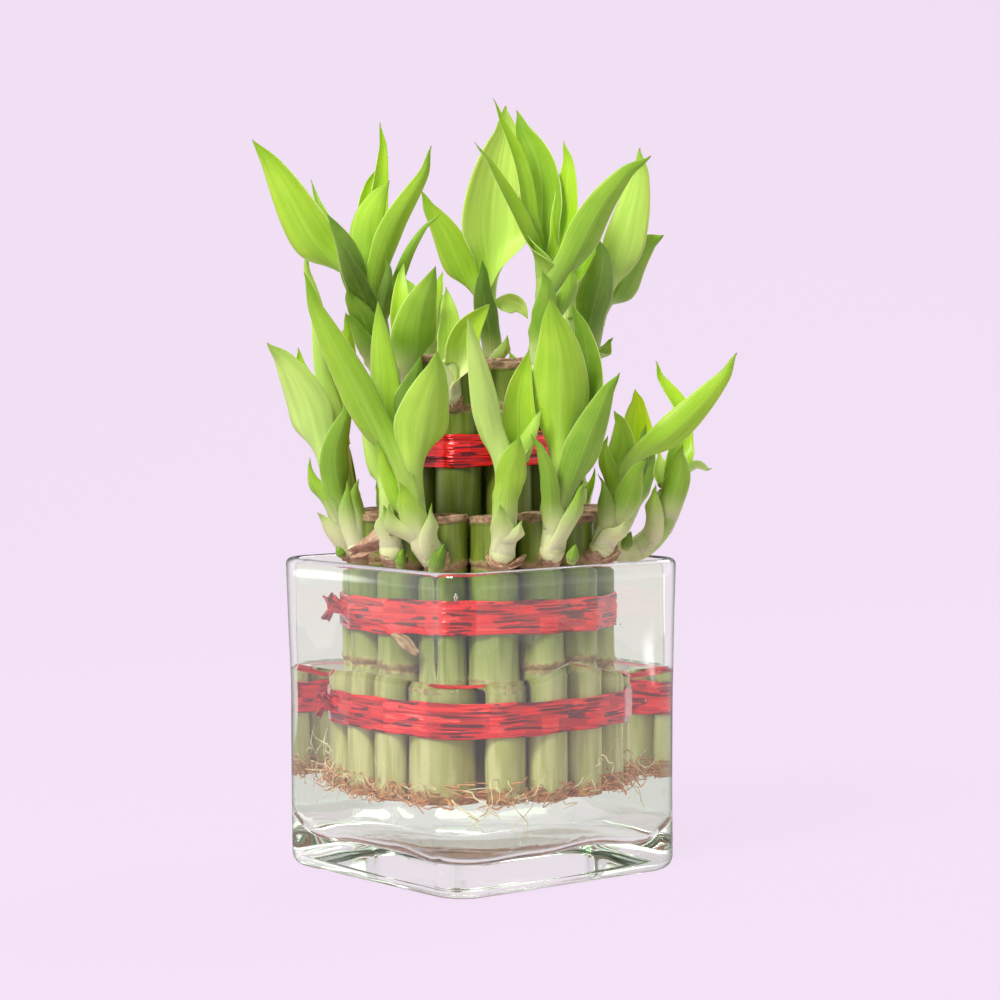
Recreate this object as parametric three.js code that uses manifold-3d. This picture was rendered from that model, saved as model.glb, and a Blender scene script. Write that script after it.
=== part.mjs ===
// Lucky bamboo in a square glass vase: two rings of cut stalks tied with red ribbon, standing in water.
// Millimetres, +Z up. The origin is the centre of the vase's flat underside.
// The vase walls are parallel to X and Y. The plant is laid out in a turned group, whose own X runs to the
// right of somebody facing the vase's front edge, and whose own Y runs away from them.

import * as THREE from 'three';
import { mergeVertices } from 'three/addons/utils/BufferGeometryUtils.js';
import Module from 'manifold-3d';

// Driving dimensions of the vase
const VASE_HEIGHT = 104.1;
const VASE_HALF_AT_RIM = 50;
const VASE_HALF_AT_BASE = 49.1;
const VASE_INNER_HALF = 45.8;
const VASE_CORNER_RADIUS = 10.5;
const VASE_BASE_EDGE = 4.5;
const VASE_FLOOR = 11;
const VASE_FLOOR_EDGE = 5;
const VASE_CORNER_STEPS = 5;

// Driving dimensions of the water
const WATER_LEVEL = 67.5;
const WATER_GAP = 0.3;
const WATER_HOLE_RADIUS = 52;
const WATER_HOLE_FLOOR = 24.8;
const WATER_CORE_RADIUS = 12.6;

// Driving dimensions of the two rings of stalks
const PLANT_TURN = -38.5;
const STALK_RADIUS = 7.2;
const STALK_NODE_RISE = 0.3;
const STALK_FOOT = 28;
const STALK_SIDES = 10;
const OUTER_COUNT = 15;
const OUTER_RING = 37;
const OUTER_PHASE = 7;
const OUTER_TOP = 120;
const OUTER_TOP_NODE = 105.5;
const OUTER_LOW_NODE = 73;
const INNER_COUNT = 8;
const INNER_RING = 21.5;
const INNER_STALK_RADIUS = 7.6;
const INNER_PHASE = -18;
const INNER_TOP = 171;
const INNER_TOP_NODE = 156;
const INNER_LOW_NODE = 116;

// Driving dimensions of the ribbons and their knots
const RIBBON_HEIGHT = 11;
const RIBBON_THICKNESS = 0.7;
const RIBBON_GAP = 0.3;
const RIBBON_BOTTOM_Z = 50;
const RIBBON_MIDDLE_Z = 82.5;
const RIBBON_TOP_Z = 135.5;
const KNOT_RADIUS = 2.6;
const KNOT_TAIL = 5;

// Driving dimensions of the shoots, leaves and roots
const BLADE_THICKNESS = 0.7;
const BLADE_FOLD = 0.16;
const SHOOT_SIDES = 6;
const SHOOT_STEPS = 4;
const SHOOT_FOOT_RADIUS = 3.9;
const SHOOT_END_RADIUS = 1.7;
const SHOOT_CLEARANCE = 0.45;
const RIM_CLEARANCE = 0.5;
const ROOT_RADIUS = 0.7;
const ROOT_STEPS = 2;
const ROOT_SIDES = 4;
const ROOT_REACH = 50.6;
const ROOT_LOW = 26.2;
const ROOT_WALL_GAP = 1.6;

// Stations along a leaf, and the share of its width that the blade has at each of them
const BLADE_STATIONS = [0, 0.22, 0.5, 0.8];
const BLADE_WIDTHS = [0.42, 0.82, 1, 0.6];
const BRACT_STATIONS = [0, 0.4, 0.75];
const BRACT_WIDTHS = [0.6, 1, 0.6];
const BRACT_WIDTH_LIMIT = 6;

const wasm = await Module();
wasm.setup();

const materials = {
  glass: new THREE.MeshStandardMaterial({ color: 0xdfe6df, roughness: 0.04, metalness: 0 }),
  water: new THREE.MeshStandardMaterial({ color: 0xe6eeea, roughness: 0.02, metalness: 0 }),
  stalk: new THREE.MeshStandardMaterial({ color: 0x7f8f3a, roughness: 0.42, metalness: 0 }),
  ribbon: new THREE.MeshStandardMaterial({ color: 0xd42a2c, roughness: 0.28, metalness: 0.6 }),
  shoot: new THREE.MeshStandardMaterial({ color: 0x9ccb3c, roughness: 0.4, metalness: 0 }),
};

// Closed solids from rings of points

function closedGeometry(points, triangles) {
  const geometry = new THREE.BufferGeometry();
  const values = points.flatMap((point) => [point.x, point.y, point.z]);
  geometry.setAttribute('position', new THREE.Float32BufferAttribute(values, 3));
  geometry.setIndex(triangles);
  return geometry;
}

// Skins a row of rings that run anticlockwise about the way they advance, and closes both ends with a point
function skinRings(rings, firstPoint, lastPoint) {
  const count = rings[0].length;
  const points = rings.flat();
  const triangles = [];
  for (let ring = 0; ring + 1 < rings.length; ring += 1) {
    for (let side = 0; side < count; side += 1) {
      const next = (side + 1) % count;
      const low = ring * count;
      const high = low + count;
      triangles.push(low + side, low + next, high + next);
      triangles.push(low + side, high + next, high + side);
    }
  }
  const firstIndex = points.push(firstPoint) - 1;
  const lastIndex = points.push(lastPoint) - 1;
  const lastRing = (rings.length - 1) * count;
  for (let side = 0; side < count; side += 1) {
    const next = (side + 1) % count;
    triangles.push(firstIndex, next, side);
    triangles.push(lastIndex, lastRing + side, lastRing + next);
  }
  return closedGeometry(points, triangles);
}

// Joins and cuts

function toSolid(geometry) {
  const bare = geometry.clone();
  bare.deleteAttribute('normal');
  bare.deleteAttribute('uv');
  const merged = mergeVertices(bare, 0.001);
  return new wasm.Manifold(new wasm.Mesh({
    numProp: 3,
    vertProperties: new Float32Array(merged.attributes.position.array),
    triVerts: new Uint32Array(merged.index.array),
  }));
}

function toGeometry(solid) {
  const mesh = solid.getMesh();
  const geometry = new THREE.BufferGeometry();
  geometry.setAttribute('position', new THREE.BufferAttribute(mesh.vertProperties, 3));
  geometry.setIndex(new THREE.BufferAttribute(mesh.triVerts, 1));
  geometry.computeVertexNormals();
  return geometry;
}

function largestPart(solid) {
  const parts = solid.decompose();
  return parts.reduce((best, part) => (part.volume() > best.volume() ? part : best));
}

function post(radius, low, high, x, y) {
  const geometry = new THREE.CylinderGeometry(radius, radius, high - low, 16);
  geometry.rotateX(Math.PI / 2);
  geometry.translate(x, y, (low + high) / 2);
  return toSolid(geometry);
}

function addPiece(parent, name, geometry, material) {
  const mesh = new THREE.Mesh(geometry, material);
  mesh.name = name;
  parent.add(mesh);
}

function twoDigits(number) {
  return String(number).padStart(2, '0');
}

// A seeded draw, so that the model is the same every time
function seededDraw(seed) {
  let state = seed;
  return () => {
    state = (state * 16807) % 2147483647;
    return state / 2147483647;
  };
}

// The vase: a square glass with round corners, a thick base and a fire-polished rim

function squareRing(half, radius, z) {
  const ring = [];
  const centre = half - radius;
  const centres = [[centre, centre], [-centre, centre], [-centre, -centre], [centre, -centre]];
  centres.forEach(([x, y], corner) => {
    for (let step = 0; step <= VASE_CORNER_STEPS; step += 1) {
      const angle = (corner + step / VASE_CORNER_STEPS) * Math.PI / 2;
      ring.push(new THREE.Vector3(x + radius * Math.cos(angle), y + radius * Math.sin(angle), z));
    }
  });
  return ring;
}

function vaseGeometry() {
  const rings = [];
  const edge = VASE_BASE_EDGE;
  for (const share of [0, 0.4, 0.75, 1]) {
    const angle = share * Math.PI / 2;
    const inset = edge * (1 - Math.sin(angle));
    const z = edge * (1 - Math.cos(angle));
    rings.push(squareRing(VASE_HALF_AT_BASE - inset, VASE_CORNER_RADIUS - inset, z));
  }
  const wall = VASE_HALF_AT_RIM - VASE_INNER_HALF;
  const lip = wall / 2;
  const innerCorner = VASE_CORNER_RADIUS - wall;
  for (const share of [0, 0.25, 0.5, 0.75, 1]) {
    const angle = share * Math.PI;
    const out = lip * Math.cos(angle);
    const z = VASE_HEIGHT - lip + lip * Math.sin(angle);
    rings.push(squareRing(VASE_HALF_AT_RIM - lip + out, innerCorner + lip + out, z));
  }
  for (const share of [0, 0.5, 1]) {
    const angle = share * Math.PI / 2;
    const inset = VASE_FLOOR_EDGE * (1 - Math.cos(angle));
    const z = VASE_FLOOR + VASE_FLOOR_EDGE * (1 - Math.sin(angle));
    rings.push(squareRing(VASE_INNER_HALF - inset, innerCorner - inset * 0.8, z));
  }
  return skinRings(rings, new THREE.Vector3(0, 0, 0), new THREE.Vector3(0, 0, VASE_FLOOR));
}

// The water: it fills the vase up to its level, with a plain round hole where the bundle stands

function waterGeometry() {
  const half = VASE_INNER_HALF - WATER_GAP;
  const corner = VASE_CORNER_RADIUS - VASE_HALF_AT_RIM + VASE_INNER_HALF - WATER_GAP;
  const inset = VASE_FLOOR_EDGE + WATER_GAP;
  const floor = VASE_FLOOR + WATER_GAP;
  const rings = [
    squareRing(half - inset, corner - inset * 0.8, floor),
    squareRing(half, corner, floor + inset),
    squareRing(half, corner, WATER_LEVEL),
  ];
  const low = new THREE.Vector3(0, 0, floor);
  const high = new THREE.Vector3(0, 0, WATER_LEVEL);
  const body = toSolid(skinRings(rings, low, high));
  const hole = new THREE.CylinderGeometry(WATER_HOLE_RADIUS, WATER_HOLE_RADIUS, WATER_LEVEL, 40);
  hole.rotateX(Math.PI / 2);
  hole.translate(0, 0, WATER_HOLE_FLOOR + WATER_LEVEL / 2);
  const core = post(WATER_CORE_RADIUS, VASE_FLOOR + 2, WATER_LEVEL, 0, 0);
  return toGeometry(body.subtract(toSolid(hole)).add(core));
}

// The stalks: cut canes with raised node rings, and roots on the outer ring

// Angle 0 faces the front edge of the vase and grows to the right
function ringPlace(ring, angle) {
  const turn = THREE.MathUtils.degToRad(angle);
  return new THREE.Vector3(ring * Math.sin(turn), -ring * Math.cos(turn), 0);
}

function outerAngle(index) {
  return OUTER_PHASE + index * 360 / OUTER_COUNT;
}

function innerAngle(index) {
  return INNER_PHASE + index * 360 / INNER_COUNT;
}

function stalkGeometry(place, radius, top, nodes) {
  const profile = [new THREE.Vector2(0, STALK_FOOT), new THREE.Vector2(radius, STALK_FOOT)];
  for (const node of nodes) {
    profile.push(new THREE.Vector2(radius, node - 2.2));
    profile.push(new THREE.Vector2(radius + STALK_NODE_RISE, node));
    profile.push(new THREE.Vector2(radius, node + 1.6));
  }
  profile.push(new THREE.Vector2(radius, top));
  profile.push(new THREE.Vector2(0, top - 0.8));
  const geometry = new THREE.LatheGeometry(profile, STALK_SIDES);
  geometry.rotateX(Math.PI / 2);
  geometry.translate(place.x, place.y, 0);
  return geometry;
}

// How far out a root may go in this direction before it meets the glass
function rootReach(angle) {
  const direction = ringPlace(1, angle).applyAxisAngle(
    new THREE.Vector3(0, 0, 1),
    THREE.MathUtils.degToRad(PLANT_TURN),
  );
  const wall = (VASE_INNER_HALF - ROOT_WALL_GAP) / Math.max(Math.abs(direction.x), Math.abs(direction.y));
  return Math.min(ROOT_REACH, wall);
}

function rootSolid(angle, start, draw) {
  const reach = rootReach(angle);
  const from = ringPlace(OUTER_RING + 3, angle);
  from.z = start;
  const middle = ringPlace((OUTER_RING + 7 + reach) / 2, angle + 2 * draw());
  middle.z = start - 2 * draw();
  const end = ringPlace(reach, angle + 5 * draw());
  end.z = ROOT_LOW + 6 * draw();
  return tubeSolid([from, middle, end], ROOT_RADIUS * 1.3, ROOT_RADIUS, ROOT_STEPS, ROOT_SIDES);
}

// A tapered round rod along a smooth curve through its points
function tubeSolid(points, firstRadius, lastRadius, steps, sides) {
  const curve = new THREE.CatmullRomCurve3(points, false, 'centripetal');
  const frames = curve.computeFrenetFrames(steps, false);
  const rings = [];
  for (let step = 0; step <= steps; step += 1) {
    const share = step / steps;
    const centre = curve.getPointAt(share);
    const radius = firstRadius + (lastRadius - firstRadius) * share;
    const ring = [];
    for (let side = 0; side < sides; side += 1) {
      const angle = side / sides * Math.PI * 2;
      const point = centre.clone();
      point.addScaledVector(frames.normals[step], radius * Math.cos(angle));
      point.addScaledVector(frames.binormals[step], radius * Math.sin(angle));
      ring.push(point);
    }
    rings.push(ring);
  }
  const first = curve.getPointAt(0);
  const last = curve.getPointAt(1).addScaledVector(frames.tangents[steps], lastRadius);
  return toSolid(skinRings(rings, first, last));
}

function addStalks(plant) {
  const draw = seededDraw(4711);
  for (let index = 0; index < OUTER_COUNT; index += 1) {
    const angle = outerAngle(index);
    const lowNode = OUTER_LOW_NODE - 6 + 8 * draw();
    const place = ringPlace(OUTER_RING, angle);
    const top = OUTER_TOP - 1 + 2 * draw();
    const stalk = stalkGeometry(place, STALK_RADIUS, top, [lowNode, OUTER_TOP_NODE]);
    let solid = toSolid(stalk);
    const highRoot = rootReach(angle) > OUTER_RING + 11 ? STALK_FOOT + 9 : STALK_FOOT + 2;
    solid = solid.add(rootSolid(angle - 5, highRoot, draw));
    solid = solid.add(rootSolid(angle + 3, STALK_FOOT + 2, draw));
    addPiece(plant, `stalk_outer_${twoDigits(index + 1)}`, toGeometry(solid), materials.stalk);
  }
  for (let index = 0; index < INNER_COUNT; index += 1) {
    const place = ringPlace(INNER_RING, innerAngle(index));
    const lowNode = INNER_LOW_NODE - 3 + 6 * draw();
    const top = INNER_TOP - 1.5 + 3 * draw();
    const stalk = stalkGeometry(place, INNER_STALK_RADIUS, top, [lowNode, INNER_TOP_NODE]);
    addPiece(plant, `stalk_inner_${twoDigits(index + 1)}`, toGeometry(toSolid(stalk)), materials.stalk);
  }
}

// The ribbons: each runs round its ring of stalks, straight between them and round where it bears on them

function ribbonOutline(ring, count, phase, reach, Path) {
  const outline = new Path();
  for (let index = 0; index < count; index += 1) {
    const angle = phase + index * 360 / count;
    const centre = ringPlace(ring, angle);
    for (const share of [-0.35, 0.35]) {
      const point = ringPlace(reach, angle + share * 360 / count).add(centre);
      if (index === 0 && share < 0) {
        outline.moveTo(point.x, point.y);
      } else {
        outline.lineTo(point.x, point.y);
      }
    }
  }
  outline.closePath();
  return outline;
}

function ribbonSolid(ring, radius, count, phase, z) {
  const inner = radius + RIBBON_GAP;
  const shape = ribbonOutline(ring, count, phase, inner + RIBBON_THICKNESS, THREE.Shape);
  shape.holes.push(ribbonOutline(ring, count, phase, inner, THREE.Path));
  const geometry = new THREE.ExtrudeGeometry(shape, { depth: RIBBON_HEIGHT, bevelEnabled: false });
  geometry.translate(0, 0, z);
  return toSolid(geometry);
}

// The knot sits at the left, where the corner of the vase leaves room, with two short tails
function knotSolid(z) {
  const x = -(OUTER_RING + STALK_RADIUS + RIBBON_GAP + RIBBON_THICKNESS + KNOT_RADIUS * 0.55);
  const lump = new THREE.IcosahedronGeometry(KNOT_RADIUS, 1);
  lump.scale(0.9, 1, 1.15);
  lump.translate(x, 0, z);
  let knot = toSolid(lump);
  for (const way of [-1, 1]) {
    const tail = new THREE.BoxGeometry(1, KNOT_TAIL, 2.6);
    tail.rotateX(way * 0.7);
    tail.translate(x - 0.6, way * 2.8, z + 2.2);
    knot = knot.add(toSolid(tail));
  }
  return knot;
}

function addRibbons(plant) {
  const bottom = ribbonSolid(OUTER_RING, STALK_RADIUS, OUTER_COUNT, OUTER_PHASE, RIBBON_BOTTOM_Z);
  const middle = ribbonSolid(OUTER_RING, STALK_RADIUS, OUTER_COUNT, OUTER_PHASE, RIBBON_MIDDLE_Z);
  const top = ribbonSolid(INNER_RING, INNER_STALK_RADIUS, INNER_COUNT, INNER_PHASE, RIBBON_TOP_Z);
  const half = RIBBON_HEIGHT / 2;
  const bottomTied = bottom.add(knotSolid(RIBBON_BOTTOM_Z + half));
  const middleTied = middle.add(knotSolid(RIBBON_MIDDLE_Z + half));
  addPiece(plant, 'ribbon_bottom', toGeometry(bottomTied), materials.ribbon);
  addPiece(plant, 'ribbon_middle', toGeometry(middleTied), materials.ribbon);
  addPiece(plant, 'ribbon_top', toGeometry(top), materials.ribbon);
}

// The leafy shoots: a stem that leaves its stalk at the top node, with leaves along it.
// at is the share of the stem where a leaf starts, bend a point that its middle passes, and turn how far the
// blade is rolled about its own length out of the plane that faces the front.

function leafSolid(stem, leaf) {
  const from = stem.getPointAt(leaf.at);
  const bend = new THREE.Vector3(...leaf.bend);
  const tip = new THREE.Vector3(...leaf.tip);
  const path = new THREE.CatmullRomCurve3([from, bend, tip], false, 'centripetal');
  const away = new THREE.Vector3(0, 1, 0);
  const roll = THREE.MathUtils.degToRad(leaf.turn);
  const narrow = leaf.width <= BRACT_WIDTH_LIMIT;
  const stations = narrow ? BRACT_STATIONS : BLADE_STATIONS;
  const widths = narrow ? BRACT_WIDTHS : BLADE_WIDTHS;
  const rings = [];
  stations.forEach((station, index) => {
    const centre = path.getPointAt(station);
    const along = path.getTangentAt(station);
    const across = new THREE.Vector3().crossVectors(along, away).normalize();
    across.applyAxisAngle(along, roll);
    const up = new THREE.Vector3().crossVectors(along, across).normalize();
    const half = Math.max(leaf.width * widths[index] / 2, 0.8);
    const fold = narrow ? 0 : half * 2 * BLADE_FOLD;
    const place = (side, height) => centre.clone().addScaledVector(across, side).addScaledVector(up, height);
    const skin = BLADE_THICKNESS / 2;
    const lower = [place(-half, fold - skin), place(0, -skin), place(half, fold - skin)];
    const upper = [place(half, fold + skin), place(0, skin), place(-half, fold + skin)];
    if (narrow) {
      lower.splice(1, 1);
      upper.splice(1, 1);
    }
    rings.push([...lower, ...upper]);
  });
  return toSolid(skinRings(rings, path.getPointAt(0), tip));
}

function shootSolid(shoot, stalks, stalkRadius, floor) {
  const points = shoot.stem.map((point) => new THREE.Vector3(...point));
  const stem = new THREE.CatmullRomCurve3(points, false, 'centripetal');
  const foot = shoot.foot ?? SHOOT_FOOT_RADIUS;
  let solid = tubeSolid(points, foot, SHOOT_END_RADIUS, SHOOT_STEPS, SHOOT_SIDES);
  for (const leaf of shoot.leaves) {
    solid = solid.add(leafSolid(stem, leaf));
  }
  const clearRadius = stalkRadius + STALK_NODE_RISE + SHOOT_CLEARANCE;
  for (const stalk of stalks) {
    solid = solid.subtract(post(clearRadius, 0, stalk.top, stalk.x, stalk.y));
  }
  const below = new THREE.BoxGeometry(400, 400, 100);
  below.translate(0, 0, floor - 50);
  return largestPart(solid.subtract(toSolid(below)));
}

// Outer shoots, in the order of their stalks from the front edge round to the right
const OUTER_SHOOTS = [
  {
    stem: [[6.5, -43, 106], [8, -45.5, 114], [8.5, -47, 132], [8, -48, 140]],
    leaves: [
      { at: 0.8, bend: [2, -56, 159], tip: [-3, -60, 185], width: 9.5, turn: 12 },
      { at: 0.5, bend: [10, -54, 136], tip: [13, -60, 149], width: 9.5, turn: -15 },
      { at: 0.85, bend: [12.5, -46, 155], tip: [16.5, -44, 173], width: 11, turn: 10 },
      { at: 0.1, bend: [7.5, -51, 117], tip: [8, -55.5, 126], width: 6, turn: 0 },
      { at: 0.3, bend: [11.5, -49, 115], tip: [13.5, -52, 120.5], width: 3, turn: 0 },
    ],
  },
  {
    stem: [[22, -36.5, 107], [24.5, -39.5, 115], [27, -41, 133], [27, -42, 142]],
    leaves: [
      { at: 0.85, bend: [27.5, -47, 160], tip: [22, -52, 189], width: 19.5, turn: 8 },
      { at: 0.8, bend: [36, -36, 168], tip: [32, -34, 188], width: 10, turn: -20 },
      { at: 0.45, bend: [36, -50, 148], tip: [43, -54, 167], width: 11, turn: 12 },
      { at: 0.35, bend: [21, -50, 136], tip: [18, -53, 148], width: 4, turn: 0 },
      { at: 0.1, bend: [31, -46, 121], tip: [34, -48, 132], width: 5, turn: 0 },
    ],
  },
  {
    stem: [[37, -25.5, 107], [42, -25, 113], [45.5, -24.5, 126], [47, -23, 138]],
    leaves: [
      { at: 0.95, bend: [66, -20, 153], tip: [86, -18, 171], width: 8, turn: 15 },
      { at: 0.2, bend: [49.5, -32, 123], tip: [53.5, -36, 138], width: 8.5, turn: 10 },
      { at: 0.7, bend: [46, -22.5, 144], tip: [44.5, -21, 155], width: 8, turn: -10 },
      { at: 0.5, bend: [42.5, -27, 134], tip: [41, -28, 145], width: 5, turn: 0 },
      { at: 0.2, bend: [40, -31, 122], tip: [38.5, -33, 134], width: 3.4, turn: 0 },
    ],
  },
  {
    stem: [[43.5, -8.5, 108.6], [55, -8.5, 109], [63.5, -8, 114.5], [68, -8, 126], [67.5, -7.5, 138]],
    leaves: [
      { at: 0.9, bend: [69.5, 0, 154], tip: [58, 5, 169], width: 7, turn: 30 },
      { at: 0.8, bend: [74, 1, 134.5], tip: [78, 8, 132], width: 5, turn: 60 },
      { at: 0.55, bend: [68, -13.5, 129], tip: [66, -16, 142], width: 7, turn: 0 },
      { at: 0.3, bend: [56.5, -14.5, 119], tip: [57, -16, 129], width: 4.4, turn: 0 },
      { at: 0.15, bend: [50, -13.5, 109.5], tip: [48.5, -15, 113.5], width: 3.4, turn: 20 },
    ],
  },
  {
    stem: [[42.5, 10, 107], [46.5, 11, 112], [51, 12.5, 122], [52, 13, 132]],
    leaves: [
      { at: 0.95, bend: [51.5, 14.5, 146], tip: [54, 14, 160], width: 11, turn: 12 },
      { at: 0.75, bend: [55, 8, 138], tip: [55, 5.5, 148.5], width: 5, turn: 0 },
      { at: 0.6, bend: [58, 10, 134], tip: [60, 8, 145], width: 4.4, turn: 10 },
      { at: 0.4, bend: [48, 19, 128], tip: [47, 24, 142], width: 7, turn: 50 },
    ],
  },
  {
    stem: [[33.5, 26.5, 107], [34, 30, 115], [33, 34, 130], [31.5, 37, 142]],
    leaves: [
      { at: 0.9, bend: [29.5, 43, 155], tip: [29, 50, 172], width: 11, turn: 15 },
      { at: 0.7, bend: [36, 43, 144], tip: [37, 51, 156], width: 9, turn: -30 },
      { at: 0.5, bend: [30, 43, 131], tip: [27, 51, 142], width: 7, turn: 20 },
      { at: 0.25, bend: [38, 35, 122], tip: [40, 39, 132], width: 5, turn: 0 },
    ],
  },
  {
    stem: [[20.5, 38, 107], [21.5, 42, 115], [20, 46, 130], [18, 48, 140]],
    leaves: [
      { at: 0.9, bend: [15.5, 52, 155], tip: [11, 58, 172], width: 12, turn: 10 },
      { at: 0.7, bend: [20, 58, 144], tip: [23, 66, 158], width: 10, turn: 20 },
      { at: 0.45, bend: [16, 55, 128], tip: [14, 62, 139], width: 7, turn: -25 },
      { at: 0.2, bend: [24, 47, 120], tip: [25, 53, 128], width: 4, turn: 0 },
    ],
  },
  {
    stem: [[4, 43, 107], [4, 47, 115], [3, 50, 129], [2, 51, 141]],
    leaves: [
      { at: 0.9, bend: [1, 58, 157], tip: [-3, 68, 176], width: 13, turn: 12 },
      { at: 0.7, bend: [6, 62, 143], tip: [10, 74, 156], width: 11, turn: 15 },
      { at: 0.45, bend: [-2, 58, 130], tip: [-5, 68, 139], width: 8, turn: -20 },
      { at: 0.2, bend: [7, 54, 119], tip: [9, 60, 126], width: 4, turn: 0 },
    ],
  },
  {
    stem: [[-14, 40.5, 107], [-15, 44.5, 115], [-16, 47, 130], [-16, 48, 139]],
    leaves: [
      { at: 0.9, bend: [-15, 54, 155], tip: [-18, 62, 173], width: 12, turn: -8 },
      { at: 0.7, bend: [-20, 56, 143], tip: [-25, 66, 157], width: 10, turn: 22 },
      { at: 0.45, bend: [-13, 55, 127], tip: [-13, 64, 137], width: 7, turn: 20 },
      { at: 0.2, bend: [-19, 50, 119], tip: [-21, 56, 126], width: 4, turn: 0 },
    ],
  },
  {
    stem: [[-29, 31.5, 107], [-30.5, 35, 115], [-31, 36.5, 129], [-30.5, 37, 139]],
    leaves: [
      { at: 0.9, bend: [-29, 41, 156], tip: [-31, 45, 176], width: 11, turn: 10 },
      { at: 0.7, bend: [-34, 45, 142], tip: [-38, 54, 156], width: 10, turn: 25 },
      { at: 0.45, bend: [-28, 44, 128], tip: [-29, 52, 139], width: 7, turn: 20 },
      { at: 0.2, bend: [-34.5, 40, 119], tip: [-37, 45, 127], width: 4, turn: 0 },
    ],
  },
  {
    stem: [[-40, 16.5, 107], [-43, 17.5, 115], [-45.5, 17, 132], [-48, 16, 150]],
    leaves: [
      { at: 0.95, bend: [-52.5, 12, 180], tip: [-61, 8, 208], width: 5.5, turn: 20 },
      { at: 0.85, bend: [-44.5, 16, 166], tip: [-43.5, 13, 186], width: 9, turn: 20 },
      { at: 0.6, bend: [-50, 21, 156], tip: [-48, 22, 180], width: 8, turn: -20 },
      { at: 0.3, bend: [-48, 26, 134], tip: [-52, 34, 148], width: 9, turn: 40 },
      { at: 0.15, bend: [-46.5, 22, 118], tip: [-49, 25, 127], width: 4, turn: 0 },
    ],
  },
  {
    stem: [[-42.5, -1, 106.5], [-45.5, -2.5, 112], [-48.5, -4.5, 124], [-49.5, -4.5, 136]],
    leaves: [
      { at: 0.9, bend: [-56, -8, 154], tip: [-68, -12, 177], width: 14, turn: -10 },
      { at: 0.85, bend: [-56, 0, 154], tip: [-62, 2, 174], width: 10, turn: 15 },
      { at: 0.55, bend: [-46.5, -9.5, 140], tip: [-43.5, -10.5, 158], width: 9.5, turn: 10 },
      { at: 0.45, bend: [-53.5, -7, 127], tip: [-56.5, -7, 138.5], width: 3.4, turn: 0 },
      { at: 0.15, bend: [-50, -7, 114], tip: [-54.5, -8, 120.5], width: 4.6, turn: -20 },
    ],
  },
  {
    stem: [[-38.5, -19.5, 106.5], [-40, -19.5, 112], [-40.5, -19.5, 119], [-39.5, -20.5, 126]],
    leaves: [
      { at: 0.8, bend: [-40, -23, 139], tip: [-39, -27, 154], width: 6, turn: 10 },
      { at: 0.3, bend: [-40, -24.5, 122], tip: [-40, -25.5, 132], width: 4.4, turn: 0 },
      { at: 0.5, bend: [-43.5, -21.5, 125], tip: [-44, -21.5, 132], width: 3.4, turn: 0 },
    ],
  },
  {
    stem: [[-27.5, -33.5, 106.5], [-28.5, -36, 113], [-28, -37, 126], [-27, -37, 142]],
    leaves: [
      { at: 0.95, bend: [-30, -38.5, 166], tip: [-32, -41, 189], width: 7.5, turn: -20 },
      { at: 0.9, bend: [-24, -38.5, 158], tip: [-18.5, -41.5, 173], width: 8.5, turn: 20 },
      { at: 0.2, bend: [-30.5, -42, 118], tip: [-31, -44.5, 125.5], width: 4.4, turn: 0 },
    ],
  },
  {
    stem: [[-14, -41.5, 106.5], [-16.5, -44.5, 112], [-21, -46, 124], [-23, -47, 139]],
    leaves: [
      { at: 0.9, bend: [-16.5, -56, 154], tip: [-12, -61.5, 173], width: 17.5, turn: 10 },
      { at: 0.95, bend: [-37.5, -54, 166], tip: [-56, -58, 198], width: 11, turn: 10 },
      { at: 0.2, bend: [-21.5, -53, 121], tip: [-24.5, -56, 133], width: 8, turn: 0 },
      { at: 0.1, bend: [-14.5, -50, 117], tip: [-15, -53, 126], width: 3.4, turn: 0 },
    ],
  },
];

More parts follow.
